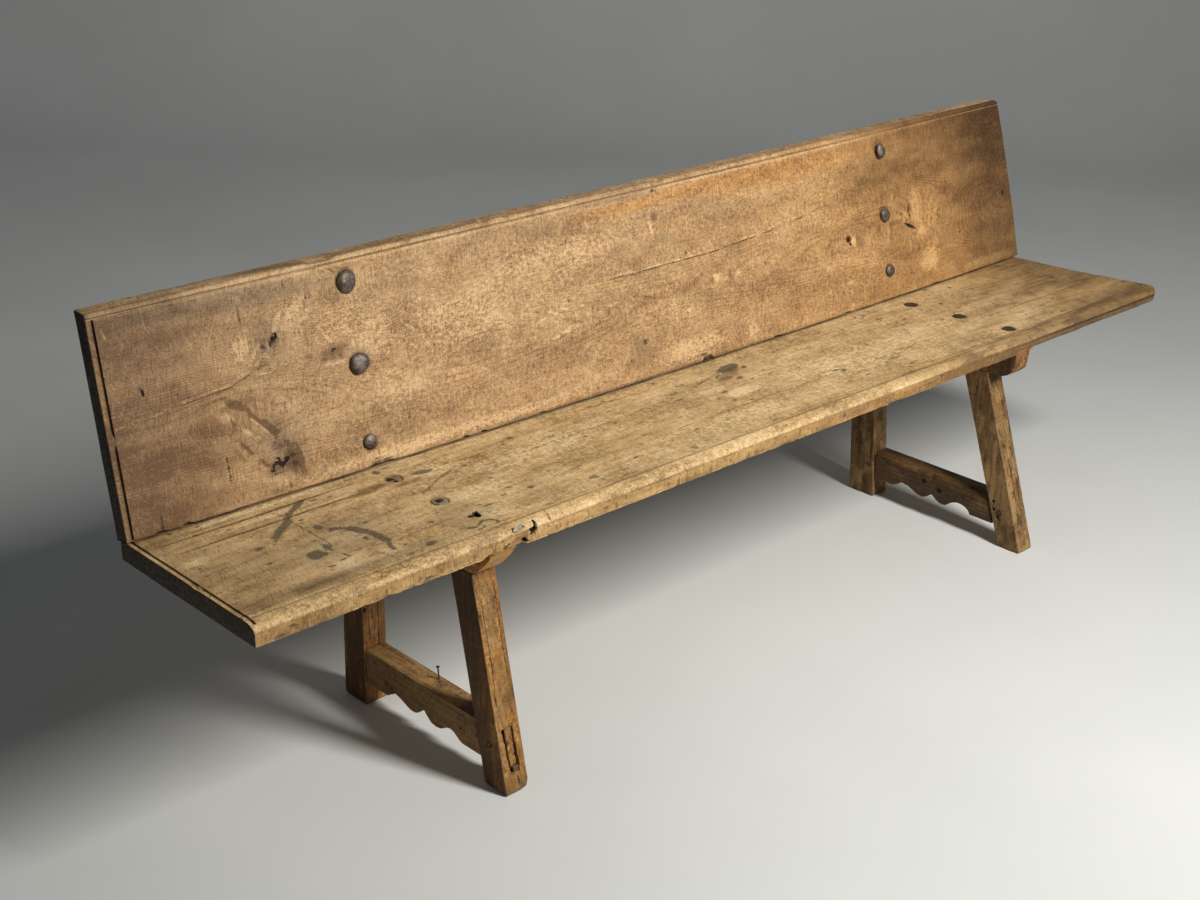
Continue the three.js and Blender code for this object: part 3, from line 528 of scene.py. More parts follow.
# The trestles: x of the left side, thickness, front faces (y at the foot and at the top), depths there, and
# heights of the stretcher. Nails of the back are (share across the post, height up the board, width of the
# head, how proud it stands), and nails of the seat are (share across, y, how deep it is sunk).
LEFT = {
    "side": "left", "x": -703.5, "thick": 49.0, "seed": 101, "peg_share": 0.5,
    "leg_front": (-354.4, -273.2), "leg_depth": (56.6, 56.8),
    "post_front": (18.8, 18.9), "post_depth": (63.6, 53.4),
    "stretcher": (46.0, 111.0),
    "back_nails": {
        "top": (0.427, 300.5, 36.0, 0.3), "middle": (0.406, 168.0, 35.0, 0.3),
        "bottom": (0.327, 39.6, 25.2, 0.3),
    },
    "seat_nails": {
        "rear": (0.29, -62.6, 0.7), "middle": (0.34, -177.5, -0.8), "front": (0.48, -252.4, 12.2),
    },
}
RIGHT = {
    "side": "right", "x": 638.8, "thick": 48.0, "seed": 201, "peg_share": 0.64,
    "leg_front": (-389.7, -266.7), "leg_depth": (55.4, 61.2),
    "post_front": (-9.5, 24.5), "post_depth": (68.6, 57.0),
    "stretcher": (42.0, 104.0),
    "back_nails": {
        "top": (0.2, 304.7, 31.0, 4.0), "middle": (0.2, 172.1, 28.8, 0.3), "bottom": (0.2, 56.6, 25.2, 0.3),
    },
    "seat_nails": {
        "rear": (0.28, -55.6, -0.8), "middle": (0.586, -167.5, -0.8), "front": (0.84, -279.4, -0.8),
    },
}
TRESTLES = (LEFT, RIGHT)
SEAT_NAIL_RADIUS = 13.5


def bow(x):
    """How far the back board's middle stands forward of its ends, at x."""
    return BOARD_BOW * (1 - (x / BOARD_LEFT[0]) ** 2)


def board_place(x, into, up):
    """A place in the board's own frame, with its bow, in the bench's frame."""
    share = up / BOARD_HEIGHT
    rise = BOARD_RISE * (x - BOARD_LEFT[1]) / (BOARD_RIGHT[1] - BOARD_LEFT[1])
    up = up + share * rise - (1 - share) * bow(x) * math.tan(LEAN)
    into = into - bow(x)
    y = into * math.cos(LEAN) + up * math.sin(LEAN)
    z = BOARD_FOOT - into * math.sin(LEAN) + up * math.cos(LEAN)
    return np.stack([x, y, z], -1), up


def board_seen(table, first=0):
    """Marks measured on the flat plane of the board's ends, moved to the bowed face along the line of
    sight. first is where the places start in a row of the table."""
    across, upward = 0.859, 0.321

    def moved(u, v):
        return u - across * bow(u), v + upward * bow(u)

    out = []
    for row in table:
        if first:
            out.append((*row[:first], *(moved(*p) for p in row[first:])))
        else:
            out.append((*moved(row[0], row[1]), *row[2:]))
    return out


def end_inset(xs, radius):
    """How far a plank's section draws in near its rounded ends."""
    d = np.minimum(xs - xs[0], xs[-1] - xs)
    d = np.clip(d, 0, radius)
    return radius - np.sqrt(np.clip(radius**2 - (radius - d) ** 2, 0, None))


def end_steps(radius):
    return [radius * (1 - math.cos(math.radians(a))) for a in (0, 22, 45, 68, 90)]


def swept(ring, left, right, radius, fine):
    """A plank's section swept along x between two rounded ends. Gives x, the section's two coordinates and
    its outward directions in them, each as (stations, around)."""
    turned = ring_normals(ring)
    ends = [left + d for d in end_steps(radius)] + [right - d for d in end_steps(radius)]
    xs = spaced(sorted(ends), PLANK_STEP, fine)
    flat = ring[None] - turned[None] * end_inset(xs, radius)[:, None, None]
    x = np.broadcast_to(xs[:, None], flat.shape[:2]).copy()
    return [x, flat[..., 0], flat[..., 1]] + [np.broadcast_to(turned[None, :, k], x.shape) for k in (0, 1)]


# Seat plank
# Scoops in its lower edge, over the noses of the bearers: where each begins and ends, height and unevenness
SEAT_SCOOPS = (((-733, -716), (-634, -652), 7.5, 2.5), ((634, 642), (690, 684), 9, 3))


def seat_section():
    back = SEAT_FRONT + MOULDING_WIDTH
    curve = arc(back - QUIRK / 2, MOULDING_FOOT, MOULDING_WIDTH - QUIRK / 2 - 1.6, 10.2, 90, 180, 12)
    corner = arc(SEAT_FRONT + 3.5, SEAT_BOTTOM + 3.5, 3.5, 3.5, 180, 270, 5)
    points = [
        (SEAT_REAR, SEAT_BOTTOM), (SEAT_REAR, SEAT_TOP),
        *((y, SEAT_TOP) for y in (2.0, -19.0, -45.0, -76.0, -160.0, -192.0, -238.0, -295.0)),
        (back + QUIRK, SEAT_TOP), (back + QUIRK * 0.6, SEAT_TOP - 0.3), (back + QUIRK * 0.3, SEAT_TOP - 1.5),
        (back - QUIRK * 0.1, SEAT_TOP - 1.9), (back - QUIRK * 0.35, SEAT_TOP - 1.1),
        *curve,
        (SEAT_FRONT + 1.2, MOULDING_FOOT - 0.9), (SEAT_FRONT + 0.1, MOULDING_FOOT - 1.6),
        (SEAT_FRONT, MOULDING_FOOT - 2.4), *corner, (SEAT_REAR, SEAT_BOTTOM),
    ]
    steps = [5, 4, 1.2, 3, 1.6, 3, 1.6, 3, 1.6, 2] + [9] * (len(points) - 11)
    steps[-1 - len(corner)] = 1.8
    return along(points, steps)


def seat_end(y):
    """Where the skewed and hollowed right end lies."""
    ys = (SEAT_FRONT, -331, -327, -321, SEAT_FRONT + SEAT_CORNER, -260, -200, -155, -100, -40, SEAT_REAR)
    xs = (1138, 1146.5, 1151.5, 1154.8, SEAT_RIGHT_FRONT, 1146, 1131.5, 1122.5, 1115, 1109.5, SEAT_RIGHT_REAR)
    return np.interp(y, ys, xs)


SEAT_DARK = [
    (-1061, -7, 7, 5, 0.9), (-1017, -12, 5, 4, 0.8), (-1034, -37, 6, 4, 0.85), (-1050, -88, 3, 3, 0.8),
    (-1038, -104, 8, 4, 0.6), (-1068, -158, 20, 6, 0.6), (-990, -138, 15, 9, 0.7),
    (-1003, -187, 7, 5, 0.85), (-1088, -137, 4, 4, 0.8), (-884, -132, 10, 12, 0.85),
    (-888, -95, 5, 4, 0.85), (-915, -167, 8, 5, 0.7), (-875, -156, 8, 5, 0.8), (-820, -166, 8, 4, 0.85),
    (-851, -211, 5, 9, 0.9), (-937, -207, 18, 17, 1.0), (-912, -197, 7, 18, 0.9),
    (-905, -236, 4, 11, 0.85, 10), (-917, -245, 9, 3, 0.9), (-942, -253, 8, 4, 0.85),
    (-881, -233, 10, 3, 0.75), (-868, -243, 8, 3, 0.75), (-865, -265, 10, 8, 0.6),
    (-820, -265, 6, 5, 0.75), (-786, -228, 6, 3, 0.75), (-788, -287, 13, 7, 1.0, 10),
    (-778, -306, 8, 4, 0.85, 30), (-745, -229, 8, 4, 0.85), (-718, -210, 7, 5, 0.65),
    (-742, -254, 7, 3, 0.7), (-710, -286, 12, 5, 0.9, -25), (-693, -294, 6, 4, 0.85),
    (-668, -296, 7, 4, 0.85, 20), (-640, -240, 17, 3, 0.8), (-650, -230, 6, 3, 0.6),
    (-640, -73, 23, 9, 0.95, -8), (-697, -27, 8, 9, 0.95), (-680, -22, 13, 5, 0.7),
    (-700, -130, 8, 5, 0.5), (-1085, -225, 9, 5, 0.5), (-1010, -300, 18, 5, 0.45),
    (-985, -110, 10, 4, 0.5), (-960, -180, 10, 5, 0.5), (-605, -205, 8, 4, 0.5),
    (84, -66, 31, 13, 1.5, 10), (112, -82, 11, 6, 1.0, 20), (40, -84, 16, 5, 0.8, 30),
    (55, -58, 9, 4, 0.7, -20), (100, -55, 8, 4, 0.7), (65, -115, 11, 7, 0.95, 15), (80, -134, 8, 3, 0.7),
    (120, -139, 6, 4, 0.9), (132, -148, 6, 4, 0.6), (-10, -148, 12, 5, 0.85, 10),
    (-42, -165, 6, 3, 0.9, 45), (-33, -165, 16, 9, 0.5), (-32, -92, 8, 6, 0.6), (18, -62, 4, 8, 0.5),
    (152, -60, 4, 9, 0.5), (160, -88, 9, 7, 0.6), (165, -105, 7, 8, 0.5), (72, -33, 5, 4, 0.85),
    (0, -205, 7, 3, 0.85, 15), (243, -215, 11, 8, 0.75), (-27, -302, 6, 5, 0.75), (-342, -136, 10, 5, 0.8),
    (-175, -237, 10, 4, 0.7), (370, -277, 13, 4, 0.7), (-245, -40, 9, 4, 0.8), (-100, -122, 10, 4, 0.8),
    (-460, -60, 10, 4, 0.6), (-520, -230, 9, 4, 0.5), (430, -120, 10, 4, 0.5), (496, -34, 8, 3, 0.9, 60),
    (517, -36, 8, 3, 0.9, 60), (1040, -315, 16, 8, 0.7), (560, -200, 9, 4, 0.5),
]
SEAT_STREAKS = [
    (6, 0.8, (-848, -38), (-893, -68), (-905, -86)), (9, 0.85, (-905, -86), (-935, -108), (-950, -122)),
    (5, 0.6, (-950, -122), (-965, -140)), (6, 0.85, (-872, -150), (-850, -166)),
    (9, 0.95, (-850, -168), (-840, -188), (-833, -202)), (8, 0.95, (-833, -202), (-832, -236)),
    (5, 0.8, (-832, -236), (-843, -266)), (4, 0.6, (-865, -262), (-858, -285)),
    (3, 0.5, (-30, -97), (0, -85), (50, -71)), (3, 0.6, (-58, -72), (-40, -72)),
    (4, 0.6, (-20, -88), (20, -82)), (1.6, 0.8, (-901, -52), (-901, -200)),
    (3, 0.8, (-697, -285), (-685, -278), (-672, -281), (-666, -291)),
    (3, 0.6, (-690, -140), (-640, -112), (-600, -97)), (4, 0.6, (600, -295), (640, -345)),
    (4, 0.5, (-925, -212), (-908, -222)),
]
SEAT_BROWN = [
    (-748, -74, 40, 12, 1.2, 3), (-1000, -285, 75, 24, 0.6), (-930, -38, 200, 4, 0.9),
    (-900, -75, 230, 4, 0.9), (-860, -62, 220, 3, 0.5), (-1000, -26, 110, 3, 0.7),
    (930, -250, 80, 50, 0.4), (-1095, -30, 40, 60, 0.6), (-680, -90, 40, 12, 0.7),
    (290, -120, 70, 12, 0.5), (290, -180, 30, 8, 0.5), (-250, -200, 160, 30, 0.35),
    (60, -92, 52, 15, 1.0, 25), (130, -90, 70, 30, 0.35), (-430, -60, 120, 14, 0.5),
    (560, -70, 120, 20, 0.45), (700, -240, 90, 24, 0.5),
]
SEAT_PALE = [
    (20, -165, 55, 17, 1.0), (-20, -128, 45, 14, 0.8), (-450, -120, 180, 40, 0.5),
    (300, -190, 200, 60, 0.55), (-60, -250, 150, 30, 0.4), (-610, -80, 60, 24, 0.7),
    (-1085, -115, 24, 16, 0.7), (-930, -15, 170, 7, 0.6), (-960, -52, 110, 8, 0.5),
    (-640, -270, 40, 20, 0.5), (-600, -190, 60, 30, 0.4),
]
SEAT_GREY = [
    (-900, -284, 180, 14, 0.7), (-900, -190, 150, 70, 0.55, 10), (40, -110, 110, 40, 0.4, 10),
    (-690, -240, 60, 70, 0.5), (880, -120, 220, 90, 0.35), (-1010, -160, 80, 60, 0.4),
    (-560, -250, 60, 30, 0.35),
]
SEAT_CRACKS = [
    (0.9, (-1100, -37), (-950, -38), (-750, -36)), (0.8, (-1100, -75), (-960, -77), (-750, -74)),
    (1.0, (560, -331), (640, -330.5)), (0.6, (-560, -118), (-380, -116), (-210, -117)),
    (0.6, (180, -60), (420, -63), (600, -61)), (0.7, (700, -205), (900, -207), (1050, -206)),
    (0.5, (-200, -216), (60, -214), (250, -216)),
]


def seat_shape():
    fine = [(-1122.5, -1109, 0.9), (-1109, -1098, 2), (-706, -672, 1.6), (-672, -586, 1.2), (640, 694, 2.2)]
    x, y, z, ny, nz = swept(seat_section(), SEAT_LEFT, SEAT_RIGHT_REAR, SEAT_END_RADIUS, fine)
    x += (seat_end(y) - SEAT_RIGHT_REAR) * smooth(820, SEAT_RIGHT_REAR, x)
    p = np.stack([x, y, z], -1)

    top = smooth(0.6, 0.95, nz) * (z > SEAT_BOTTOM + 5)
    under = smooth(0.6, 0.95, -nz)
    face = smooth(0.7, 0.95, -ny)
    moulding = (y < -300) & (z > 436)
    coarse = layered(p, (330, 110, 60), 3)
    middle = layered(p, (55, 16, 16), 5)
    small = layered(p, (16, 6, 6), 7, 2)
    ragged = layered(p, (9, 5, 5), 11, 2)

    # worn hollows in the top, a softer moulding, and a broken lower arris, most of all at the right
    loss = top * (1.1 * coarse + 0.5 * middle + 0.12 * small)
    loss += under * (1.4 * coarse + 0.8 * middle)
    loss += face * (0.25 + 0.35 * layered(p, (90, 12, 12), 10, 3) + 0.15 * small)
    loss = np.where(moulding, 0.5 * layered(p, (130, 12, 12), 8, 3) + 0.15 * small, loss)
    arris = oval(y - SEAT_FRONT, z - SEAT_BOTTOM, 5, 5)
    broken = patchy(0.52, 0.72, p, (22, 9, 9), 13, 5)
    loss += arris * (0.6 + 2.6 * broken)
    right = smooth(688, 700, x) * (0.75 + 0.5 * noise(p, (60, 9, 9), 15))
    loss += right * oval(y - SEAT_FRONT, z - SEAT_BOTTOM, 9, 6) * SEAT_ARRIS_LOSS

    # the groove by the left end, which is chipped at one place
    groove = smooth(2.1, 1.2, np.abs(x - SEAT_GROOVE + 0.5 * (middle - 0.5))) * (y > SEAT_FRONT + 11)
    chipped = hump(y + 182, 8)
    loss += top * groove * (GROOVE_DEPTH - 2.8 * chipped)
    loss += top * smooth(SEAT_GROOVE - 2, SEAT_GROOVE - 5.5, x) * (0.5 + 1.6 * chipped)
    y = y - ny * loss
    z = z - nz * loss

    # dents that the nails have drawn, and the deep hole of the punched one, whose inside is painted black:
    # painted shade
    dent, rim, black = np.zeros((3, *x.shape))
    for t in TRESTLES:
        for share, nail_y, sunk in t["seat_nails"].values():
            dx, dy = x - t["x"] - t["thick"] * share, y - nail_y
            away = np.hypot(dx, dy)
            d = away + 1.6 * (ragged - 0.5)
            if sunk > PUNCHED:
                d = np.where(away < 40, polygon_depth(dx, dy, TORN_HOLE), -40) + 4.0 * (ragged - 0.5)
                dent += top * smooth(-0.5, 2.5, d) * 10
                black = most(black, top * smooth(-1.6, 0.2, d))
            else:
                dent += top * (0.9 * hump(d, 20) + smooth(15.2, 14.0, d) * 2.2)
                rim = most(rim, top * smooth(17.5, 14.5, d))
    z = z - dent

    # the seat is planed down for the board's foot, and let in for the posts
    foot = BOARD_FOOT - 0.7 - (y + bow(x) / math.cos(LEAN)) * math.tan(LEAN)
    z = np.where((y > -20) & (z > 430), np.minimum(z, foot), z)
    for t in TRESTLES:
        at_post = (x > t["x"] - 0.8) & (x < t["x"] + t["thick"] + 0.8)
        y = np.where(at_post, np.minimum(y, 17.6), y)

    # the lower front edge: scooped over both bearers' noses, and chipped round an old nail, with the openings
    # painted dark and three of them black: painted shade inside them
    low = smooth(-318, -327, y) * (z < 436)
    for start, end, height, uneven in SEAT_SCOOPS:
        scoop = smooth(*start, x) * smooth(*end, x) * low
        z = np.where(scoop > 0, most(z, SEAT_BOTTOM + (height + uneven * (small - 0.5)) * scoop), z)
    on_edge = smooth(-300, -312, y)
    holes = [chip_depth(x, z, ragged, hole) * on_edge for hole in CHIPS]
    chip = most(*holes)
    black = most(black, *holes[1:4])
    crushed = oval(x + 652, z - 434, 26, 14) * on_edge
    y = y + chip * 8 + crushed * (0.4 + 2.2 * ragged)

    # tones
    shape = tube(np.stack([x, y, z], -1))
    points = shape["points"]
    x, y, z = points.T
    top, face, moulding, arris, broken, groove, chipped, rim, chip, crushed, small, black = (
        field.ravel()
        for field in (top, face, moulding, arris, broken, groove, chipped, rim, chip, crushed, small, black)
    )
    mould = moulding * 1.0
    on_top = top * (1 - moulding)
    front = face * (z < MOULDING_FOOT - 1)
    joint = hump(np.clip(-bow(x) / math.cos(LEAN) - y, 0, None), 1.4) * (y > -30) * on_top
    quirk = hump(y - SEAT_FRONT - MOULDING_WIDTH, 2.1) * (z > 445)
    foot_line = hump(z - MOULDING_FOOT + 1.4, 1.2) * (y < -330)
    lines = noise(points, (120, 300, 300), 23)
    left_end = smooth(SEAT_LEFT + 1.2, SEAT_LEFT + 0.2, x)
    # Painted shade: the unlit left end face (partly darker end grain), the quirk, the moulding's foot, the
    # groove, each nail's dent wall (partly dirt), the chip openings, and the front, moulding and top
    # darkening towards the right end where the light falls off (partly darker wood). The joint line is a dark
    # joint.
    dirt = most(
        joint * (0.4 + 0.6 * noise(points, (40, 9, 9), 21)), quirk * (0.7 + 0.3 * lines),
        foot_line * (0.35 + 0.4 * lines), groove * top * (1 - 0.8 * chipped) * 0.95, rim * 0.7, chip * 0.8,
        left_end, (0.62 * front + 0.4 * mould) * smooth(350, 850, x), 0.36 * smooth(780, 1120, x),
    )
    nicks = patchy(0.58, 0.74, points, (2.6, 40, 13), 33, 2) * front
    dark = most(
        blots(x, y, SEAT_DARK) ** 1.4 * on_top, streaks(x, y, SEAT_STREAKS) * on_top,
        patchy(0.70, 0.80, points, (26, 9, 9), 25, 2) * 0.55 * most(on_top, front), arris * 0.55 * broken,
        0.3 * nicks * smooth(-1000, 0, x), crushed * 0.75 * smooth(0.45, 0.75, small),
    )
    patches = patchy(0.42, 0.66, points, (45, 12, 12), 27, 4)
    # Painted shade: the left end face, and the front, moulding and top getting browner towards the right end,
    # and the top towards the left end, where the light falls off; partly darker wood. The blots, nicks and
    # crushed wood are real.
    brown = most(
        blots(x, y, SEAT_BROWN) * most(on_top, mould), 0.9 * nicks, crushed * 0.8, left_end,
        front * (0.45 + 0.25 * smooth(-300, 300, x) + 0.35 * smooth(350, 800, x)), mould * 0.15 * patches,
        0.6 * mould * smooth(500, 950, x), mould * (0.45 + 0.35 * patches) * smooth(150, 600, x),
        0.5 * smooth(650, 1100, x) * on_top, 0.5 * smooth(-850, -1100, x) * on_top,
    )
    pale = most(blots(x, y, SEAT_PALE) * on_top, 0.2 * mould * smooth(600, 100, x))
    grey = most(blots(x, y, SEAT_GREY) * on_top, 0.2 * smooth(500, 900, x) * on_top)
    warm = most(front * (0.55 + 0.4 * smooth(-200, 300, x)) + mould * 0.3, 0.55 * smooth(600, 1050, x))
    wear = most(
        mould * 0.14 * patchy(0.35, 0.6, points, (50, 14, 14), 29, 4) * smooth(700, 300, x),
        smooth(SEAT_GROOVE - 1.8, SEAT_GROOVE - 3.7, x) * top * 0.4,
    )
    away, half = cracks(x, y, SEAT_CRACKS)
    rings = y / 22 + 3 * layered(points, (900, 160, 90), 31, 2) + (x / 700) ** 2
    shape["data"] = wood_data(
        points, rings, dirt=dirt, dark=dark, brown=brown, pale=pale, grey=grey, warm=warm, wear=wear,
        black=black, crack=away, crack_half=np.where(on_top > 0.5, half, -1),
    )
    return shape


# The outline of the hole over the punched nail, from its middle
TORN_HOLE = [
    (-12, -1), (-9, 4), (-5, 3), (-1, 6), (3, 5), (6, 10), (10, 7), (9, 0), (8, -6), (3, -12), (-2, -9),
    (-4, -5), (-9, -6),
]
# Openings broken into the front edge round the old nail: (x, z) corners
CHIPS = [
    [(-668, 445.5), (-665, 449.5), (-650, 448), (-643, 449), (-642, 445), (-652, 443.5), (-663, 443)],
    [(-624, 450), (-620, 450.5), (-619, 446), (-622, 441), (-621, 437), (-625, 432), (-631, 429.5),
     (-634, 433), (-632, 437), (-638, 440), (-634, 443), (-627, 444)],
    [(-651, 430), (-645, 431.5), (-640, 427), (-635, 423), (-640, 420.5), (-648, 424)],
    [(-690, 426), (-676, 432), (-673, 429), (-683, 422)],
    [(-592, 451.5), (-588, 452), (-592, 444.5), (-596, 444.5)],
]


def chip_depth(u, v, ragged, corners):
    """1 inside an opening, with a ragged edge."""
    near = (np.abs(u - corners[0][0]) < 60) & (v > 410)
    out = np.zeros_like(u)
    out[near] = smooth(-0.4, 1.6, polygon_depth(u[near], v[near], corners) + 3 * (ragged[near] - 0.5))
    return out


piece("seat_plank_worn", seat_shape(), seat_wood, ["seat_plank"])


# Back board
def board_section():
    bead_foot = BOARD_HEIGHT - 14.0
    points = [
        (0.0, 0.8), (1.0, 0.0), (BOARD_THICKNESS - 1.5, 0.0), (BOARD_THICKNESS, 1.5),
        (BOARD_THICKNESS, BOARD_HEIGHT - 2.0), (BOARD_THICKNESS - 2.0, BOARD_HEIGHT - 0.2),
        *arc(6.5, bead_foot, 6.5, 8.0, 90, 180, 9),
        (0.9, bead_foot - 0.8), (1.7, bead_foot - 1.6), (1.2, bead_foot - 2.6), (0.1, bead_foot - 3.4),
        (0.0, 250.0), (0.0, 215.0), (0.0, 130.0), (0.0, 20.0), (0.0, 0.8),
    ]
    steps = [2, 6, 2, 8, 2, 4] + [2] * 14 + [3, 3, 3, 3, 2]
    return along(points, steps[: len(points) - 1])


def board_left(up):
    share = up / BOARD_HEIGHT
    x = BOARD_LEFT[0] + (BOARD_LEFT[1] - BOARD_LEFT[0]) * share
    over = np.clip(up - (BOARD_HEIGHT - BOARD_LEFT_CORNER), 0, BOARD_LEFT_CORNER)
    return x + BOARD_LEFT_CORNER - np.sqrt(BOARD_LEFT_CORNER**2 - over**2)


def board_right(up):
    top = BOARD_HEIGHT + BOARD_RISE
    share = np.clip(up / (top - BOARD_RIGHT_CORNER), 0, 1)
    x = BOARD_RIGHT[0] + (BOARD_RIGHT[1] - BOARD_RIGHT[0]) * share + 4 * share * (1 - share) * BOARD_BULGE
    over = np.clip(up - (top - BOARD_RIGHT_CORNER), 0, BOARD_RIGHT_CORNER)
    return x - BOARD_RIGHT_CORNER + np.sqrt(BOARD_RIGHT_CORNER**2 - over**2)


# Marks of the back board, by x and height
BACK_DARK = board_seen([
    (-838, 66, 26, 46, 0.5, 32), (-826, 238, 15, 34, 0.44, 50), (-822, 238, 10, 5.5, 1.5, 62),
    (-843, 230, 4.5, 4, 1.3), (-833, 252, 9, 4, 0.6, 60), (-848, 208, 16, 5, 0.5, 45),
    (-886, 213, 8, 6, 0.65), (-822, 40, 8, 6, 0.85), (-824, 54, 10, 8, 0.7), (-852, 45, 18, 10, 0.6),
    (-1055, 210, 3.5, 12, 0.95, 10), (-1000, 193, 4, 3, 0.9), (-742, 152, 4, 3, 0.8),
    (-719, 197, 4, 4, 1.1), (-860, 268, 3, 14, 0.6, -8), (-640, 213, 5, 4, 0.7), (-862, 7, 5, 3, 0.8),
    (-932, 35, 2, 30, 0.5), (-912, 155, 18, 10, 0.5, -30), (-1065, 15, 2.5, 14, 0.8),
    (-925, 262, 12, 2, 0.5, -10), (-55, 60, 10, 7, 0.75), (-92, 32, 7, 12, 0.6), (62, 90, 5, 3, 0.9, -30),
    (285, 140, 5, 4, 0.8), (-210, 275, 2.5, 9, 0.8, -15), (-222, 171, 5, 3, 0.9, -40),
    (-248, 167, 3, 5, 0.8), (-297, 167, 7, 2.5, 0.9, -20), (76, 200, 4, 5, 0.9), (82, 258, 3, 9, 0.5, 20),
    (165, 255, 3, 9, 0.5, 20), (212, 277, 6, 6, 0.5), (9, 326, 9, 4, 0.8), (-22, 100, 5, 3, 0.8),
    (-125, 74, 8, 3, 0.7), (95, 26, 3, 7, 0.6, 10), (537, 141, 9, 9, 1.3), (541, 128, 3, 8, 0.8),
    (315, 312, 4, 3, 0.8), (714, 162, 9, 5, 0.75), (738, 170, 4, 12, 0.95, -18),
    (738, 133, 21, 4, 1.5, -24), (752, 113, 7, 2.5, 0.9, 10), (907, 90, 4, 4, 0.8),
    (1075, 148, 3.5, 11, 1.2), (720, 60, 4, 10, 0.4), (872, 72, 3, 22, 0.4), (-670, 6, 16, 4, 0.7),
    (88, 4, 14, 4, 0.8), (-462, 6, 5, 5, 0.6), (985, 160, 4, 4, 0.6), (-640, 262, 3, 3, 0.5),
    (-560, 120, 4, 3, 0.5), (-430, 250, 4, 3, 0.5), (420, 90, 5, 3, 0.5),
])
BACK_BLACK = board_seen([
    (-857, 47, 9, 3.5, 1.1, 20), (-845, 44, 6, 4.5, 1.1), (-836, 50, 4.5, 6, 1.0), (-863, 38, 5, 3, 0.9),
    (-851, 55, 6, 2.5, 0.9, -20), (-827, 234, 9, 2.8, 1.1, 62), (-818, 241, 8, 2.6, 1.0, 62),
    (-834, 227, 4, 2.5, 0.9, 30), (-714, 197, 3.5, 3, 0.9), (537, 141, 6, 6, 1.0), (541, 130, 2.5, 7, 0.9),
    (736, 133, 15, 2.6, 1.1, -24), (742, 160, 2.5, 9, 0.8, -18), (1075, 148, 2.6, 9, 0.9),
    (-1055, 210, 2.5, 10, 0.8, 10),
])
BACK_BROWN = board_seen([
    (-908, 154, 24, 8, 1.0, -30), (-892, 144, 15, 5, 0.9, -40), (-922, 166, 14, 5, 0.8, -15),
    (-716, 196, 30, 11, 0.8, 8), (-720, 185, 34, 8, 0.5), (-824, 46, 18, 26, 1.0),
    (-852, 40, 28, 14, 0.9, 10), (-846, 78, 12, 26, 0.6, 25), (-838, 108, 10, 26, 0.5, 35),
    (690, 148, 34, 9, 0.6), (-767, 197, 9, 6, 0.6), (-860, 205, 22, 12, 0.6, 45), (135, 136, 14, 9, 0.6),
    (-1000, 150, 130, 8, 0.3, 5), (-810, 22, 14, 10, 0.6), (-720, 62, 60, 5, 0.4, -8),
    (-800, 68, 22, 5, 0.6, 18), (740, 250, 200, 50, 0.35), (6, 278, 10, 12, 0.7),
    (-720, 165, 90, 9, 0.35, -12), (130, 120, 60, 7, 0.4, 20), (-140, 150, 60, 6, 0.4),
    (60, 130, 40, 8, 0.4, 20), (-190, 96, 60, 8, 0.4, -5), (730, 60, 20, 40, 0.4), (930, 210, 90, 60, 0.4),
    (-940, 120, 8, 40, 0.5, 5), (-965, 108, 10, 14, 0.6),
])
BACK_PALE = board_seen([
    (-772, 276, 40, 10, 0.6, 45), (-792, 262, 34, 6, 0.7, 55), (-812, 262, 30, 5, 0.8, 60),
    (-758, 262, 24, 5, 0.5, 40), (-640, 205, 50, 50, 0.55, 20), (765, 165, 26, 50, 0.9),
    (775, 118, 16, 12, 0.95), (800, 140, 70, 90, 0.5), (795, 55, 35, 30, 0.85), (60, 22, 100, 24, 0.85),
    (230, 22, 20, 24, 0.8, 10), (-5, 262, 5, 26, 1.0, 8), (66, 93, 9, 5, 1.0), (148, 138, 10, 10, 0.9),
    (170, 133, 9, 7, 0.7), (205, 137, 9, 12, 0.7), (553, 132, 9, 12, 0.95), (-520, 10, 330, 11, 0.7),
    (1000, 12, 110, 13, 0.8), (-470, 190, 140, 60, 0.5), (-240, 250, 160, 50, 0.45),
    (-700, 245, 60, 30, 0.5, 30), (-720, 176, 30, 5, 0.7), (-880, 235, 18, 30, 0.6, -20),
    (-690, 222, 20, 8, 0.7, -30), (720, 158, 24, 15, 0.6), (30, 105, 14, 20, 0.5, 30),
    (-930, 140, 20, 10, 0.6, -35), (530, 60, 10, 60, 0.4), (-610, 110, 60, 40, 0.4),
])
BACK_WARM = board_seen([
    (360, 312, 480, 18, 1.0), (430, 292, 330, 16, 0.7), (600, 60, 300, 60, 0.5), (-60, 306, 180, 14, 0.7),
])
BACK_GREY = board_seen([
    (-930, 315, 220, 22, 0.9, -2), (-110, 328, 110, 6, 0.9), (20, 235, 60, 16, 0.4),
    (-80, 232, 50, 20, 0.4), (-1000, 240, 90, 50, 0.35), (-690, 185, 60, 12, 0.5),
    (-250, 300, 60, 26, 0.4), (-70, 40, 40, 30, 0.5), (-838, 66, 44, 56, 0.8, 30),
    (-830, 235, 40, 34, 0.7, 50),
])
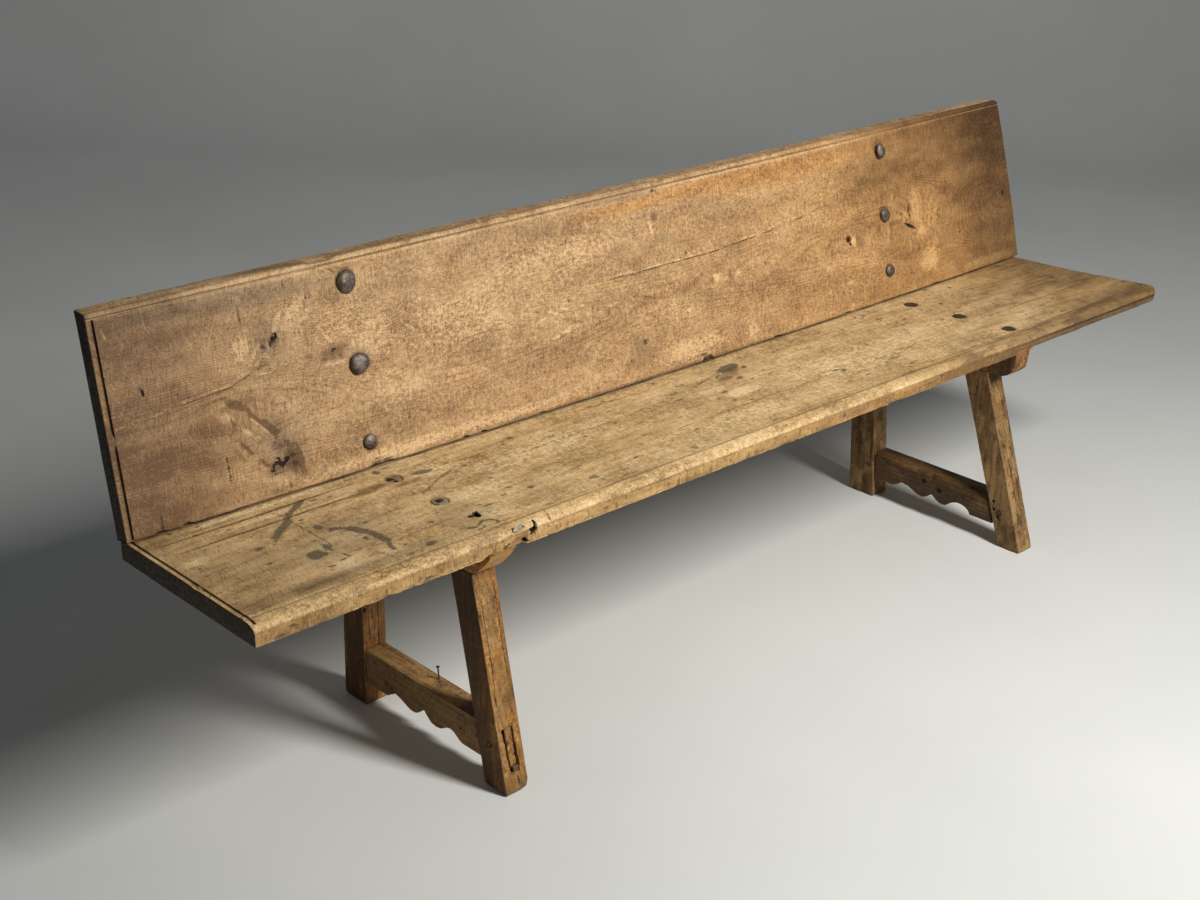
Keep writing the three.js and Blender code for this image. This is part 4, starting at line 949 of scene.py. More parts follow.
BACK_STREAKS = board_seen([
    (4, 1.0, (-886, 134), (-858, 106), (-836, 76), (-827, 52)),
    (5, 0.8, (-868, 124), (-842, 94), (-824, 66), (-816, 44)),
    (3, 1.0, (-866, 116), (-842, 84), (-832, 64)), (4, 0.8, (-912, 100), (-894, 74), (-872, 50)),
    (3, 0.8, (-900, 82), (-882, 60), (-868, 46)), (5, 0.5, (-930, 96), (-908, 66), (-884, 42)),
    (4, 0.7, (-815, 70), (-806, 44), (-812, 20)), (3, 0.7, (-850, 34), (-838, 18), (-836, 4)),
    (2.5, 0.7, (-1111, 161), (-1045, 166), (-1000, 174), (-910, 181), (-870, 195), (-835, 204)),
    (2.5, 0.6, (-835, 204), (-822, 215), (-822, 232)),
    (2.2, 0.75, (-120, 189), (-60, 186), (20, 188), (130, 188), (270, 196), (400, 209), (480, 220)),
    (1.6, 0.8, (-742, 205), (-715, 206), (-690, 198)), (1.6, 0.8, (-742, 186), (-715, 183), (-690, 192)),
    (2, 0.6, (-790, 330), (-710, 328), (-692, 315)),
    (3, 0.5, (-100, 140), (-60, 148), (-20, 135), (20, 128)), (2, 0.6, (-680, 68), (-660, 66)),
    (3, 0.5, (90, 120), (130, 122), (160, 130)), (2, 0.7, (700, 168), (718, 169)),
], 2)
BACK_FLAMES = board_seen([
    (2.2, 0.9, (-893, 131), (-875, 118), (-858, 95), (-843, 68), (-838, 50)),
    (6, 0.6, (-935, 150), (-905, 122)), (5, 0.6, (-905, 122), (-880, 92), (-860, 62)),
    (2, 0.7, (-842, 40), (-846, 12)),
    (2.2, 0.8, (-1111, 166), (-1045, 171), (-1000, 179), (-910, 186), (-872, 200), (-835, 215)),
    (2, 0.7, (-860, 190), (-825, 190), (-800, 198)), (2, 0.7, (-872, 205), (-848, 235), (-835, 250)),
    (2.2, 0.8, (-862, 205), (-835, 222), (-815, 250), (-806, 275)), (1.6, 0.6, (-1020, 250), (-1012, 236)),
    (3, 0.9, (-1099, 312), (-1096, 300)), (2, 0.5, (-530, 70), (-465, 110)),
    (2, 0.5, (-365, 262), (-310, 300)),
    (2.2, 0.6, (-120, 193), (-60, 190), (20, 192), (130, 192), (270, 200), (400, 213)),
    (2.2, 0.8, (-290, 152), (-262, 148), (-254, 138), (-262, 124), (-272, 114)),
    (2.4, 0.8, (-272, 162), (-245, 152), (-232, 140), (-240, 126), (-268, 112)),
    (2.4, 0.8, (-240, 162), (-212, 151), (-208, 140), (-222, 128), (-262, 112)),
    (2.4, 0.8, (-205, 163), (-176, 151), (-185, 136), (-215, 123), (-250, 114)),
    (2.2, 0.7, (-150, 120), (-118, 127), (-95, 140), (-70, 143)),
    (2.2, 0.7, (-170, 132), (-150, 138), (-90, 150)), (2.5, 0.7, (40, 92), (28, 118), (36, 132)),
    (2.5, 0.8, (135, 143), (151, 140), (148, 126), (132, 122)),
    (2, 0.6, (150, 130), (163, 140), (175, 128)), (2.4, 0.5, (-40, 152), (20, 158), (40, 170)),
    (5, 0.7, (686, 178), (687, 203)), (5, 0.6, (735, 92), (736, 118)), (6, 0.5, (530, 0), (533, 100)),
    (6, 0.5, (465, 0), (466, 100)), (2.5, 0.8, (466, 225), (467, 245)), (2, 0.5, (410, 217), (445, 237)),
], 2)
BACK_SCRATCHES = board_seen([
    (0.9, 0.8, (-875, 260), (-873, 300)), (0.9, 0.7, (-823, 255), (-822, 300)),
    (0.9, 0.7, (-790, 290), (-788, 322)), (0.9, 0.7, (-752, 285), (-750, 318)),
    (1.0, 0.7, (-1065, 0), (-1063, 30)), (1.0, 0.7, (-940, 20), (-938, 80)),
    (1.0, 0.7, (-665, 10), (-664, 40)), (1.0, 0.6, (-1110, 245), (-1060, 225)),
], 2)
BACK_CRACKS = board_seen([
    (1.6, (722, 141), (738, 134), (756, 124)), (1.0, (726, 154), (737, 160), (744, 181)),
    (1.8, (-867, 40), (-862, 46), (-854, 51)), (1.4, (-852, 49), (-846, 48), (-836, 47)),
    (1.1, (-866, 33), (-860, 31), (-852, 33)), (0.8, (-724, 197), (-714, 197)),
    (0.4, (-1000, 175), (-910, 182), (-866, 196)), (0.4, (-110, 189), (20, 188), (130, 188), (270, 196)),
], 1)
BACK_KNOTS = [(u, v, *rest) for u, v, *rest in board_seen([
    (-830, 237, 95, 42), (-715, 195, 55, 28), (-850, 47, 90, 40), (-890, 130, 70, 45), (715, 150, 120, 60),
    (135, 140, 50, 22), (539, 140, 45, 22), (-55, 60, 30, 14), (65, 87, 28, 12), (-676, 299, 60, 30),
])]
# Rings round the knots (x, height, reach along, reach across), and where they show (x, height, half sizes)
BACK_FANS = [(715, 150, 16, 11, 800, 140, 130, 90), (-800, 120, 9, 6.5, -650, 230, 110, 75)]
# Chips in the top moulding and in the foot: (x, half length, depth)
TOP_CHIPS = [
    (-722, 26, 4.0), (-555, 9, 2.2), (-390, 9, 3.0), (-345, 5, 1.8), (20, 7, 2.8), (167, 10, 2.6),
    (320, 6, 2.6), (-905, 6, 1.5), (-205, 5, 1.6), (600, 7, 1.6), (845, 6, 1.6),
]
FOOT_CHIPS = [
    (-670, 26, 3.5), (86, 14, 5.0), (-1070, 9, 3.0), (-1025, 7, 2.5), (-500, 7, 3.0), (-462, 6, 3.5),
    (-935, 12, 1.5), (-330, 9, 1.5), (285, 12, 2.0), (500, 10, 1.5), (800, 16, 1.8),
]


def wood_flow(u, v, knots):
    """Heights of the grain lines, which part round each knot (x, height, half length, half width)."""
    out = v.copy()
    for ku, kv, ru, rv in knots:
        q = ((u - ku) / ru) ** 2 + ((v - kv) / rv) ** 2
        out -= (v - kv) * 0.85 * np.exp(-q)
    return out


def board_shape():
    fine = [(-1122, -1106, 0.9), (-1106, -1090, 2), (-712, -656, 2), (632, 676, 2), (60, 112, 2)]
    x, into, up, n_into, n_up = swept(board_section(), BOARD_LEFT[0], BOARD_RIGHT[0], BOARD_END_RADIUS, fine)
    real_up = board_place(x, into, up)[1]
    x = x + (board_left(real_up) - BOARD_LEFT[0] + 0.4) * smooth(-980, BOARD_LEFT[0], x)
    x = x + (board_right(real_up) - BOARD_RIGHT[0]) * smooth(780, BOARD_RIGHT[0], x)

    p = np.stack([x, into, up], -1)
    coarse = layered(p, (300, 60, 90), 41)
    middle = layered(p, (45, 14, 18), 43)
    small = layered(p, (14, 6, 6), 45, 2)
    face = smooth(0.7, 0.95, -n_into) * (up < BEAD_FOOT)
    back = smooth(0.7, 0.95, n_into)
    bead = (up > BEAD_FOOT) & (into < 8)
    upper = smooth(0.6, 0.9, n_up)

    # nearly flat face; hewn back, with shallow strokes across it; chips along the top and the foot
    loss = face * (0.9 * coarse + 0.3 * middle + 0.08 * small)
    strokes = np.abs(np.sin((x / 37 + 1.7 * layered(p, (120, 60, 70), 47, 2)) * math.pi))
    loss += back * (1.6 * coarse + 1.5 * strokes * noise(p, (80, 60, 40), 49) + 0.3 * small)
    loss += upper * (1.2 * middle + 0.4 * small)
    loss = np.where(bead, 0.55 * middle + 0.4 * small, loss)
    for cx, half, depth in TOP_CHIPS:
        loss += hump(x - cx, half, 4) * (0.6 + 0.8 * small) * depth * hump(up - 340, 5) * (into < 12)
    loss += smooth(0.5, 0.9, -n_up) * 0.8 * middle
    lift = np.zeros_like(x)
    for cx, half, depth in FOOT_CHIPS:
        lift += hump(x - cx, half, 4) * (0.5 + small) * depth * smooth(12, 1, up) * (into < 6)
    lift += smooth(6, 0.5, up) * (into < 6) * 0.5 * layered(p, (28, 10, 10), 51, 2)
    # mark: where a chip lifts the foot off the seat; it is painted dark later, as painted shade in the gap.
    mark = smooth(1.3, 4.2, lift)

    # the groove by the left end stops short of the top edge, and is filled at one place; where it is open it
    # is painted dark later, as painted shade in the groove
    centre = BOARD_LEFT[0] + 11 + 6 * up / BOARD_HEIGHT
    groove = smooth(2.1, 1.2, np.abs(x - centre + 0.5 * (middle - 0.5))) * smooth(337, 334, up)
    filled = hump(up - 150, 9, 4)
    loss += face * groove * (4.0 - 3.2 * filled)
    edge = face * smooth(centre - 1.6, centre - 5.2, x)
    loss += edge * (0.3 + 0.8 * small)

    # dents round the nail heads, and a ring round each that is painted dark later: the head's painted shadow
    dent, rim = np.zeros((2, *x.shape))
    for t in TRESTLES:
        for share, nail_up, head, _ in t["back_nails"].values():
            d = np.hypot(x - t["x"] - t["thick"] * share, up - nail_up) + 2.4 * (small - 0.5)
            dent += face * 0.8 * hump(d, head * 0.62, 4)
            rim = most(rim, face * smooth(head / 2 + 3.4, head / 2 + 0.4, d))
    loss += dent
    into = into - n_into * loss
    up = up - n_up * loss + lift

    # tones, by the place along the board and up it
    rings, v = board_place(x, into, up)
    shape = tube(rings)
    u, v, into, face, back, bead, upper, groove, filled, rim, mark, edge = (
        field.ravel() for field in (x, v, into, face, back, bead, upper, groove, filled, rim, mark, edge)
    )
    front = most(face, bead * 1.0)
    local = np.stack([u, v, into], -1)
    below_top = BOARD_HEIGHT + BOARD_RISE * (u - BOARD_LEFT[1]) / (BOARD_RIGHT[1] - BOARD_LEFT[1]) - v
    lines = noise(local, (160, 300, 300), 53)
    end = smooth(2.2, 0.8, u - board_left(v))
    shade = 0.22 * smooth(170, 300, v) * smooth(430, 650, u) + 0.46 * smooth(820, 1030, u)
    shade += 0.12 * smooth(960, 1060, u) * smooth(300, 200, v)
    shade += 0.12 * smooth(-980, -1100, u) + 0.1 * smooth(400, 900, u) * v / BOARD_HEIGHT
    # Painted shade: the quirk line under the bead, the groove, a shadow ring round each nail head, the gaps
    # under the foot's chips, the unlit left end face (partly darker end grain), and the shade terms where the
    # light falls off. The line along the foot is a dark joint, and the patches on the top are dirt.
    dirt = most(
        hump(below_top - 15.5, 1.5) * (into < 4) * smooth(1500, 0, u) * (0.3 + 0.55 * lines),
        groove * 0.95 * face * (1 - 0.8 * filled), rim * 0.55, mark * 0.9 * (into < 7),
        smooth(1.2, 0.0, v) * 0.5, end, shade * front,
        0.6 * upper * smooth(-300, -900, u) * smooth(0.3, 0.7, noise(local, (90, 9, 9), 61)),
    )
    dark = most(
        blots(u, v, BACK_DARK) ** 1.6 * face, streaks(u, v, BACK_SCRATCHES) * face,
        patchy(0.72, 0.82, local, (26, 12, 9), 55, 2) * 0.25 * face,
    )
    broken = 0.3 + patchy(0.3, 0.62, local, (13, 10, 10), 65, 2)
    torn = 1.3 * (layered(local, (5, 5, 5), 63, 2) - 0.5)
    # Painted shade: the left end face, and the front getting browner towards the right end and its top, and
    # towards the left end, where the light falls off; partly darker wood. The blots, streaks and the back's
    # brown are real.
    brown = most(
        most(blots(u, v, BACK_BROWN), streaks(u, v, BACK_STREAKS) * broken) * face, back * 0.35, end,
        smooth(350, 900, u) * (0.3 + 0.45 * v / BOARD_HEIGHT) * front, smooth(-800, -1080, u) * 0.8 * front,
    )
    # Painted highlights: the light lines along the top's front arris and along the ridge under the bead's
    # quirk. The bead's patches and the groove's edge are wear.
    wear = most(
        bead * 0.45 * patchy(0.35, 0.6, local, (60, 20, 20), 57, 4) * smooth(900, 300, u),
        hump(below_top - 7, 2.5) * 0.6 * (into < 9) * lines,
        hump(below_top - 19.5, 2.2) * face * (0.4 + 0.6 * lines) * smooth(1050, 600, u), edge * 0.35,
    )
    away, half = cracks(u, v, BACK_CRACKS)

    # growth rings: a saddle in the middle, and a fan round a knot on each side
    flow = wood_flow(u, v, BACK_KNOTS)
    rings = ((flow - 135) / 17) ** 2 / 2 - (360 * np.tanh(u / 360) / 105) ** 2 / 2
    for cu, cv, ru, rv, fan_u, fan_v, half_u, half_v in BACK_FANS:
        fan = oval(u - fan_u, v - fan_v, half_u, half_v)
        rings = rings * (1 - fan) + np.hypot((u - cu) / ru, (v - cv) / rv) * fan
    shape["data"] = wood_data(
        np.stack([u, flow, into], -1), rings + 2.0 * layered(local, (500, 90, 60), 59, 2),
        dirt=dirt, dark=dark, brown=brown, wear=wear, crack=away, crack_half=np.where(face > 0.5, half, -1),
        black=smooth(0.45, 0.7, blots(u, v, BACK_BLACK) + torn) * face,
        pale=most(blots(u, v, BACK_PALE), streaks(u, v, BACK_FLAMES) * broken) * face,
        warm=most(blots(u, v, BACK_WARM), 0.2 + 0.45 * smooth(-200, 900, u)) * front,
        grey=most(most(blots(u, v, BACK_GREY), 0.22 * smooth(-450, -1080, u)) * front, back * 0.35),
    )
    return shape


piece("back_board_worn", board_shape(), back_wood, ["back_board"])


# Legs and posts
FOOT_WEAR = 5.5
TIMBER_TOP_RADIUS = 1.8
TIMBER_ARRIS = 2.2
TIMBER_DEPTH = 55.0  # of the section before it is fitted between the front and rear points
TIMBER_STEP = 3.0
PEG_SET = 14.0  # how far a peg lies behind a post's front
PEG_RADIUS = 4.4
FIT = 0.3


def timber(t, pairs, fine, face_step):
    """A squared timber that follows pairs of front and rear points in (y, z). Gives the points, their
    outward directions in space and in the section, and how far each lies across and along the front."""
    pairs = np.array(pairs, float)
    lengths = np.concatenate([[0], np.cumsum(np.linalg.norm(np.diff(pairs[:, 0], axis=0), axis=1))])
    stations = list(lengths[1:-1]) + [lengths[0] + d for d in end_steps(FOOT_WEAR)]
    stations += [lengths[-1] - d for d in end_steps(TIMBER_TOP_RADIUS)]
    s = spaced(sorted(stations), TIMBER_STEP, fine)
    front, rear = (
        np.stack([np.interp(s, lengths, pairs[:, side, k]) for k in (0, 1)], -1) for side in (0, 1)
    )
    w, d, r = t["thick"], TIMBER_DEPTH, TIMBER_ARRIS
    outline, steps = [], []
    for cx, cy, start in ((r, r, 180), (w - r, r, 270), (w - r, d - r, 0), (r, d - r, 90)):
        outline += arc(cx, cy, r, r, start, start + 90, 3)
        steps += [9, 9, 9, TIMBER_STEP]
    steps[3] = face_step
    ring = along(outline + outline[:1], steps)
    turned = ring_normals(ring)
    worn = np.clip(FOOT_WEAR - s, 0, FOOT_WEAR)
    inset = most(end_inset(s, TIMBER_TOP_RADIUS), FOOT_WEAR - np.sqrt(FOOT_WEAR**2 - worn**2))[:, None, None]
    centre = np.array([w / 2, d / 2])
    flat = centre + (ring - centre)[None] * (1 - inset / centre)
    points = front[:, None] + (rear - front)[:, None] * (flat[..., 1:] / d)
    across = (rear - front) / np.linalg.norm(rear - front, axis=1, keepdims=True)
    p = np.concatenate([t["x"] + flat[..., :1], points], -1)
    shape = p.shape[:2]
    n = np.concatenate([
        np.broadcast_to(turned[None, :, :1], shape + (1,)), across[:, None] * turned[None, :, 1:],
    ], -1)
    facing = np.broadcast_to(turned[None], shape + (2,))
    return p, n, facing, flat[..., 0], np.broadcast_to(s[:, None], shape)


def peg_places(t):
    """Where the pegs of a trestle run through it, in (y, z)."""
    mid = sum(t["stretcher"]) / 2
    bearer_mid = (BEARER_TOP + BEARER_BOTTOM) / 2
    front = np.interp(mid, (0, BEARER_BOTTOM), t["leg_front"])
    depth = np.interp(mid, (0, BEARER_BOTTOM), t["leg_depth"])
    post, post_high = np.interp((mid, bearer_mid), (0, SEAT_BOTTOM), t["post_front"])
    return {
        "stretcher_front": (front + depth * t["peg_share"], mid),
        "stretcher_rear": (post - FIT + PEG_SET, mid),
        "bearer_front": (t["leg_front"][1] + t["leg_depth"][1] / 2, BEARER_BOTTOM + 16),
        "bearer_rear": (post_high - FIT + PEG_SET, bearer_mid),
    }


def timber_wear(t, p, facing, across, s, seed):
    """How much wood has gone from each point of a leg or post, and tones that all of them share."""
    coarse = layered(p, (60, 60, 210), seed)
    middle = layered(p, (15, 15, 46), seed + 2)
    small = layered(p, (6, 6, 12), seed + 4, 2)
    chips = patchy(0.60, 0.80, p, (12, 12, 30), seed + 6)
    arris = smooth(0.02, 0.22, 1 - np.max(np.abs(facing), -1))
    near_arris = hump(np.minimum(across, t["thick"] - across), 5.0) * (np.abs(facing[..., 1]) > 0.8)
    loss = (1.3 * coarse + 0.55 * middle + 0.22 * small) + arris * (0.5 + 2.2 * chips * middle * 2)
    loss += near_arris * 1.3 * chips
    foot = smooth(24, 0, s)
    loss += 0.12 + foot * arris * (0.3 + 0.8 * coarse) + foot**2 * (0.3 + 0.7 * middle)
    # Left faces are painted browner and darker, most of all high up under the seat: painted shade of the
    # unlit side and the seat's painted shadow. The dark at the foot is dirt.
    left = smooth(0.6, 0.95, -facing[..., 0])
    stains = patchy(0.60, 0.74, p, (12, 12, 34), seed + 8) * smooth(0.3, 0.6, coarse)
    tones = {
        "dark": most(0.25 * stains, 0.55 * arris * chips),
        "pale": 0.6 * patchy(0.6, 0.75, p, (18, 18, 80), seed + 10),
        "brown": most(0.55 * patchy(0.5, 0.7, p, (30, 30, 120), seed + 12), 0.8 * left),
        "grey": 0.3 * patchy(0.55, 0.75, p, (25, 25, 70), seed + 14),
        "warm": 0.3 + 0.5 * patchy(0.45, 0.7, p, (30, 30, 130), seed + 16),
        "wear": 0.45 * arris * (1 - chips),
        "dirt": most(0.35 * smooth(9, 0, s), left * (0.12 + 0.38 * smooth(150, 330, s))),
    }
    if t is RIGHT:
        specks = patchy(0.5, 0.72, p, (9, 9, 30), seed + 18, 4)
        for key, share in (("brown", 0.55), ("dirt", 0.5), ("warm", 0.4)):
            tones[key] = tones[key] * share
        more(tones, grey=0.6, brown=0.85 * specks)
        more(tones, pale=0.7 * patchy(0.45, 0.62, p, (14, 14, 36), seed + 19, 3))
        loss += 0.4 * specks
    return loss, tones


def timber_piece(t, node, pairs, seed, fine, face_step, detail, pegs):
    p, n, facing, across, s = timber(t, pairs, fine, face_step)
    loss, tones = timber_wear(t, p, facing, across, s, seed)
    # holes of the pegs, on both sides, each with a ring painted dark round it: painted shade in the gap
    side = np.abs(facing[..., 0]) > 0.8
    for y, z in pegs:
        d = np.hypot(p[..., 1] - y, p[..., 2] - z)
        loss = loss + side * smooth(PEG_RADIUS + 1, PEG_RADIUS, d) * 2.6
        more(tones, dirt=side * smooth(PEG_RADIUS + 3, PEG_RADIUS + 0.4, d) * 0.95)
    lines, face = [], (facing[..., 1] < -0.8) * 1.0
    if detail:
        extra, lines, tones["black"] = detail(p, facing, face, across, s, tones)
        loss = loss + extra
    crack, half = cracks(s, across, lines)
    tones.update(crack=crack, crack_half=np.where(face > 0.5, half, -1))
    p = p - n * loss[..., None]
    bent = across + 2.2 * layered(p, (40, 40, 160), seed + 20, 2)
    flow = np.stack([s, bent, p[..., 1]], -1).reshape(-1, 3)
    rings = across / 9 + p[..., 1] / 14 + 2.5 * layered(p, (60, 60, 400), seed + 22, 2)
    shape = tube(p)
    shape["data"] = wood_data(flow, rings.ravel(), **{key: value.ravel() for key, value in tones.items()})
    piece(f"{node}_worn", shape, leg_wood, [node])


def leg_pairs(t):
    pairs = []
    for z, depth in ((0, t["leg_depth"][0]), (LEG_TOP, t["leg_depth"][1])):
        y = t["leg_front"][0] + (t["leg_front"][1] - t["leg_front"][0]) / BEARER_BOTTOM * z
        pairs.append(((y, z), (y + depth, z)))
    return pairs


def post_pairs(t):
    into = BOARD_THICKNESS - min(bow(t["x"]), bow(t["x"] + t["thick"])) + 0.6

    c, s = math.cos(LEAN), math.sin(LEAN)

    def behind(i, up):
        return (i * c + up * s, BOARD_FOOT - i * s + up * c)

    def front(z):
        return (float(np.interp(z, (0, SEAT_BOTTOM), t["post_front"])), z)

    def rear(z):
        depth = t["post_depth"][0] + (t["post_depth"][1] - t["post_depth"][0]) * z / SEAT_BOTTOM
        slope = (t["post_front"][1] - t["post_front"][0]) / SEAT_BOTTOM
        return (t["post_front"][0] + slope * z + depth, z)

    return [
        (front(0), rear(0)), (front(SEAT_BOTTOM), rear(SEAT_BOTTOM)),
        (behind(into, -BOARD_BOW * math.tan(LEAN)), rear(SEAT_BOTTOM + 26)),
        (behind(into, 46), behind(into + POST_DEPTH, 48)),
        (behind(into, POST_TOP), behind(into + POST_DEPTH, POST_TOP)),
    ]


# The left front leg's face, where the stretcher's tenon comes through: places across it and up its slope
POCKET = [(11, 111), (33, 112), (34.5, 60), (35.5, 47), (34, 36), (22, 34), (17.5, 33), (14.5, 60)]
# Holes in the right front leg's side: (y, z, radius)
LEG_HOLES = [(-313.5, 95, 3.2), (-316.5, 78, 3.0), (-327.5, 63, 3.4)]


def left_leg_detail(p, facing, face, across, s, tones):
    """The pocket round the tenon, a scooped place over it, and the foot's broken corner."""
    d = polygon_depth(across, s, POCKET) + 2.2 * (layered(p, (5, 5, 9), 91, 2) - 0.5)
    hole = face * smooth(-0.5, 1.1, d)
    scoop = face * np.exp(-((((across - 26) / 7) ** 2 + ((s - 124) / 13) ** 2) ** 2))
    deep = p[..., 1] - p[..., 1].min(axis=1, keepdims=True)
    corner = smooth(31, 47, across) * smooth(17, 2, s) * smooth(26, 4, deep)
    extra = hole * 9.5
    extra += scoop * 1.5 + corner * (3 * np.clip(-facing[..., 1], 0, 1) + 8 * np.clip(facing[..., 0], 0, 1))
    dark = blots(across, s, [
        (35, 325, 7, 12, 0.9), (5, 300, 4, 20, 0.8), (15, 115, 5, 4, 0.6), (33, 115, 4, 5, 0.7),
        (40, 60, 4, 12, 0.5), (12, 215, 4, 14, 0.6), (38, 235, 5, 18, 0.5), (20, 268, 5, 9, 0.5),
    ])
    pale = streaks(across, s, [(2.2, 0.8, (40, 80), (39, 92)), (3, 0.5, (8, 180), (10, 250))])
    grey = blots(across, s, [(31, 155, 11, 17, 0.9), (22, 340, 16, 14, 0.6)])
    # The pocket is painted dark, and black deeper in: painted shade in the gap round the tenon.
    more(tones, dark=0.55 * (dark * face), pale=pale * face, grey=grey * face, dirt=hole)
    lines = [
        (1.5, (4, 30.5), (18, 28.5), (34, 27.0)), (1.0, (6, 36), (17, 35.2), (30, 34.2)),
        (0.7, (150, 9), (230, 12), (330, 11)), (0.6, (190, 40), (260, 39), (350, 41)),
    ]
    return extra, lines, hole * smooth(0.4, 2.0, d)


def right_leg_detail(p, facing, face, across, s, tones):
    """A worn left arris at the foot, and three holes in the side."""
    dark = blots(across, s, [
        (24, 372, 30, 14, 0.9), (30, 95, 8, 28, 0.7), (25, 122, 9, 8, 0.6), (35, 82, 7, 14, 0.7),
        (10, 210, 5, 22, 0.7), (38, 180, 4, 26, 0.6), (20, 250, 6, 14, 0.6), (14, 40, 7, 14, 0.6),
    ])
    warm = blots(across, s, [(28, 303, 18, 5, 1.0), (24, 325, 22, 18, 0.5)])
    pale = blots(across, s, [(26, 326, 18, 15, 0.6), (30, 230, 6, 30, 0.5)])
    more(tones, dark=0.6 * (dark * face), warm=warm * face, pale=pale * face)
    left = (facing[..., 0] < -0.8) * 1.0
    extra = face * smooth(12, 0, across) * smooth(62, 40, s) * 3.0
    black = np.zeros_like(s)
    # Each hole is painted black inside: painted shade.
    for y, z, r in LEG_HOLES:
        d = np.hypot(p[..., 1] - y, p[..., 2] - z)
        extra = extra + left * smooth(r + 1, r - 1, d) * 3
        black = most(black, left * smooth(r + 1.2, r - 0.5, d))
    return extra, [(0.8, (60, 20), (150, 22), (235, 19)), (0.6, (250, 33), (330, 35))], black


def left_post_detail(p, facing, face, across, s, tones):
    """A small hole in the face, and two cracks."""
    # The hole is painted black: painted shade inside it.
    black = face * smooth(4.5, 2.5, np.hypot(across - 6, s - 185))
    more(tones, warm=0.75 * face)
    return black * 3, [(0.7, (20, 30), (180, 33), (330, 30)), (0.6, (120, 14), (300, 12))], black


for t, leg_fine, leg_step, leg_detail, post_detail in (
    (LEFT, [(22, 132, 1.4)], 1.5, left_leg_detail, left_post_detail),
    (RIGHT, [], 2.4, right_leg_detail, None),
):
    places = peg_places(t)
    bands = {key: (place[1] - 8, place[1] + 8, 1.4) for key, place in places.items()}
    timber_piece(
        t, f"front_leg_{t['side']}", leg_pairs(t), t["seed"], [bands["stretcher_front"]] + leg_fine,
        leg_step, leg_detail, [places["stretcher_front"]],
    )
    rear = ("stretcher_rear", "bearer_rear")
    timber_piece(
        t, f"rear_post_{t['side']}", post_pairs(t), t["seed"] + 30, [bands[key] for key in rear],
        TIMBER_STEP, post_detail, [places[key] for key in rear],
    )


# Bearers and stretchers: the CAD's own joints, with worn edges
def worn_copy(node, voxel):
    """Points (in the bench's millimetres), normals and faces of a finely meshed copy of a CAD node."""
    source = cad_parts[node]
    work = bpy.data.objects.new(node + "_copy", source.data.copy())
    work.matrix_world = source.matrix_world
    bpy.context.scene.collection.objects.link(work)
    remesh = work.modifiers.new("fine", "REMESH")
    remesh.mode = "VOXEL"
    remesh.voxel_size = voxel * MM
    done = work.evaluated_get(bpy.context.evaluated_depsgraph_get()).to_mesh()
    count = len(done.vertices)
    places, normals = np.empty(count * 3), np.empty(count * 3)
    done.vertices.foreach_get("co", places)
    done.vertices.foreach_get("normal", normals)
    matrix = np.array(source.matrix_world)
    points = places.reshape(-1, 3) @ matrix[:3, :3].T + matrix[:3, 3]
    normals = normals.reshape(-1, 3) @ matrix[:3, :3].T
    faces = [list(f.vertices) for f in done.polygons]
    bpy.data.objects.remove(work)
    return (points - ORIGIN) / MM, normals, faces


def rail_piece(node, t, seed, voxel, change):
    points, normals, faces = worn_copy(node, voxel)
    normals = normals / np.maximum(np.linalg.norm(normals, axis=1, keepdims=True), 1e-9)
    coarse = layered(points, (60, 150, 60), seed)
    middle = layered(points, (14, 40, 14), seed + 2)
    small = layered(points, (6, 10, 6), seed + 4, 2)
    arris = smooth(0.05, 0.28, 1 - np.max(np.abs(normals), axis=1))
    chips = patchy(0.55, 0.8, points, (12, 24, 12), seed + 6)
    loss = 0.7 * coarse + 0.5 * middle + 0.25 * small + arris * (0.5 + 1.6 * chips)
    moved = points - normals * loss[:, None]
    tones = {
        "dark": most(0.4 * patchy(0.6, 0.74, points, (14, 40, 14), seed + 8), 0.5 * arris * chips),
        "pale": 0.5 * patchy(0.6, 0.75, points, (20, 70, 20), seed + 10),
        "brown": 0.5 * patchy(0.5, 0.7, points, (30, 90, 30), seed + 12),
        "grey": 0.5 * patchy(0.5, 0.75, points, (25, 60, 25), seed + 14),
        "warm": 0.3 * patchy(0.5, 0.7, points, (30, 90, 30), seed + 16),
        "wear": 0.5 * arris * (1 - chips),
    }
    change(t, moved, points, normals, tones, small)
    grain = np.stack([points[:, 1], points[:, 2] + 2 * middle, points[:, 0]], -1)
    rings = points[:, 2] / 10 + points[:, 0] / 13 + 2.5 * layered(points, (60, 300, 60), seed + 18, 2)
    shape = {"points": moved, "faces": faces, "data": wood_data(grain, rings, **tones)}
    piece(f"{node}_worn", shape, leg_wood, [node], sharp=50)


def raised_nose(t, moved, points, normals, tones, small):
    """The top of the nose stands up into the hollow under the seat's edge."""
    left = t["side"] == "left"
    lift, start, end = (5.6, -308, -324) if left else (8.0, -312, -326)
    high = smooth(BEARER_TOP - 30, BEARER_TOP - 2, moved[:, 2])
    moved[:, 2] += lift * smooth(start, end, moved[:, 1]) * high * (0.85 + 0.3 * small)
    nose = smooth(-262, -270, points[:, 1])
    # end: the nose's front face, which the tones below paint lighter than its sides: painted light and shade.
    end = smooth(0.2, 0.6, -normals[:, 1]) * nose
    for key in ("dark", "brown", "grey"):
        tones[key] = tones[key] * (1 - 0.75 * nose)
    # The bearer's top under the seat is painted dark: painted shade between the parts.
    more(tones, warm=0.7 * nose, dirt=0.8 * smooth(0.5, 0.9, normals[:, 2]) * (points[:, 1] > -315))
    if left:
        more(tones, pale=0.4 * nose + 0.3 * end, warm=nose)
    else:
        streaky = patchy(0.4, 0.65, points, (9, 9, 26), 451, 3)
        more(tones, brown=nose * (1.0 - 0.5 * end) + 0.5 * end * streaky)
        more(tones, dark=nose * (1 - end) * 0.7 * streaky)


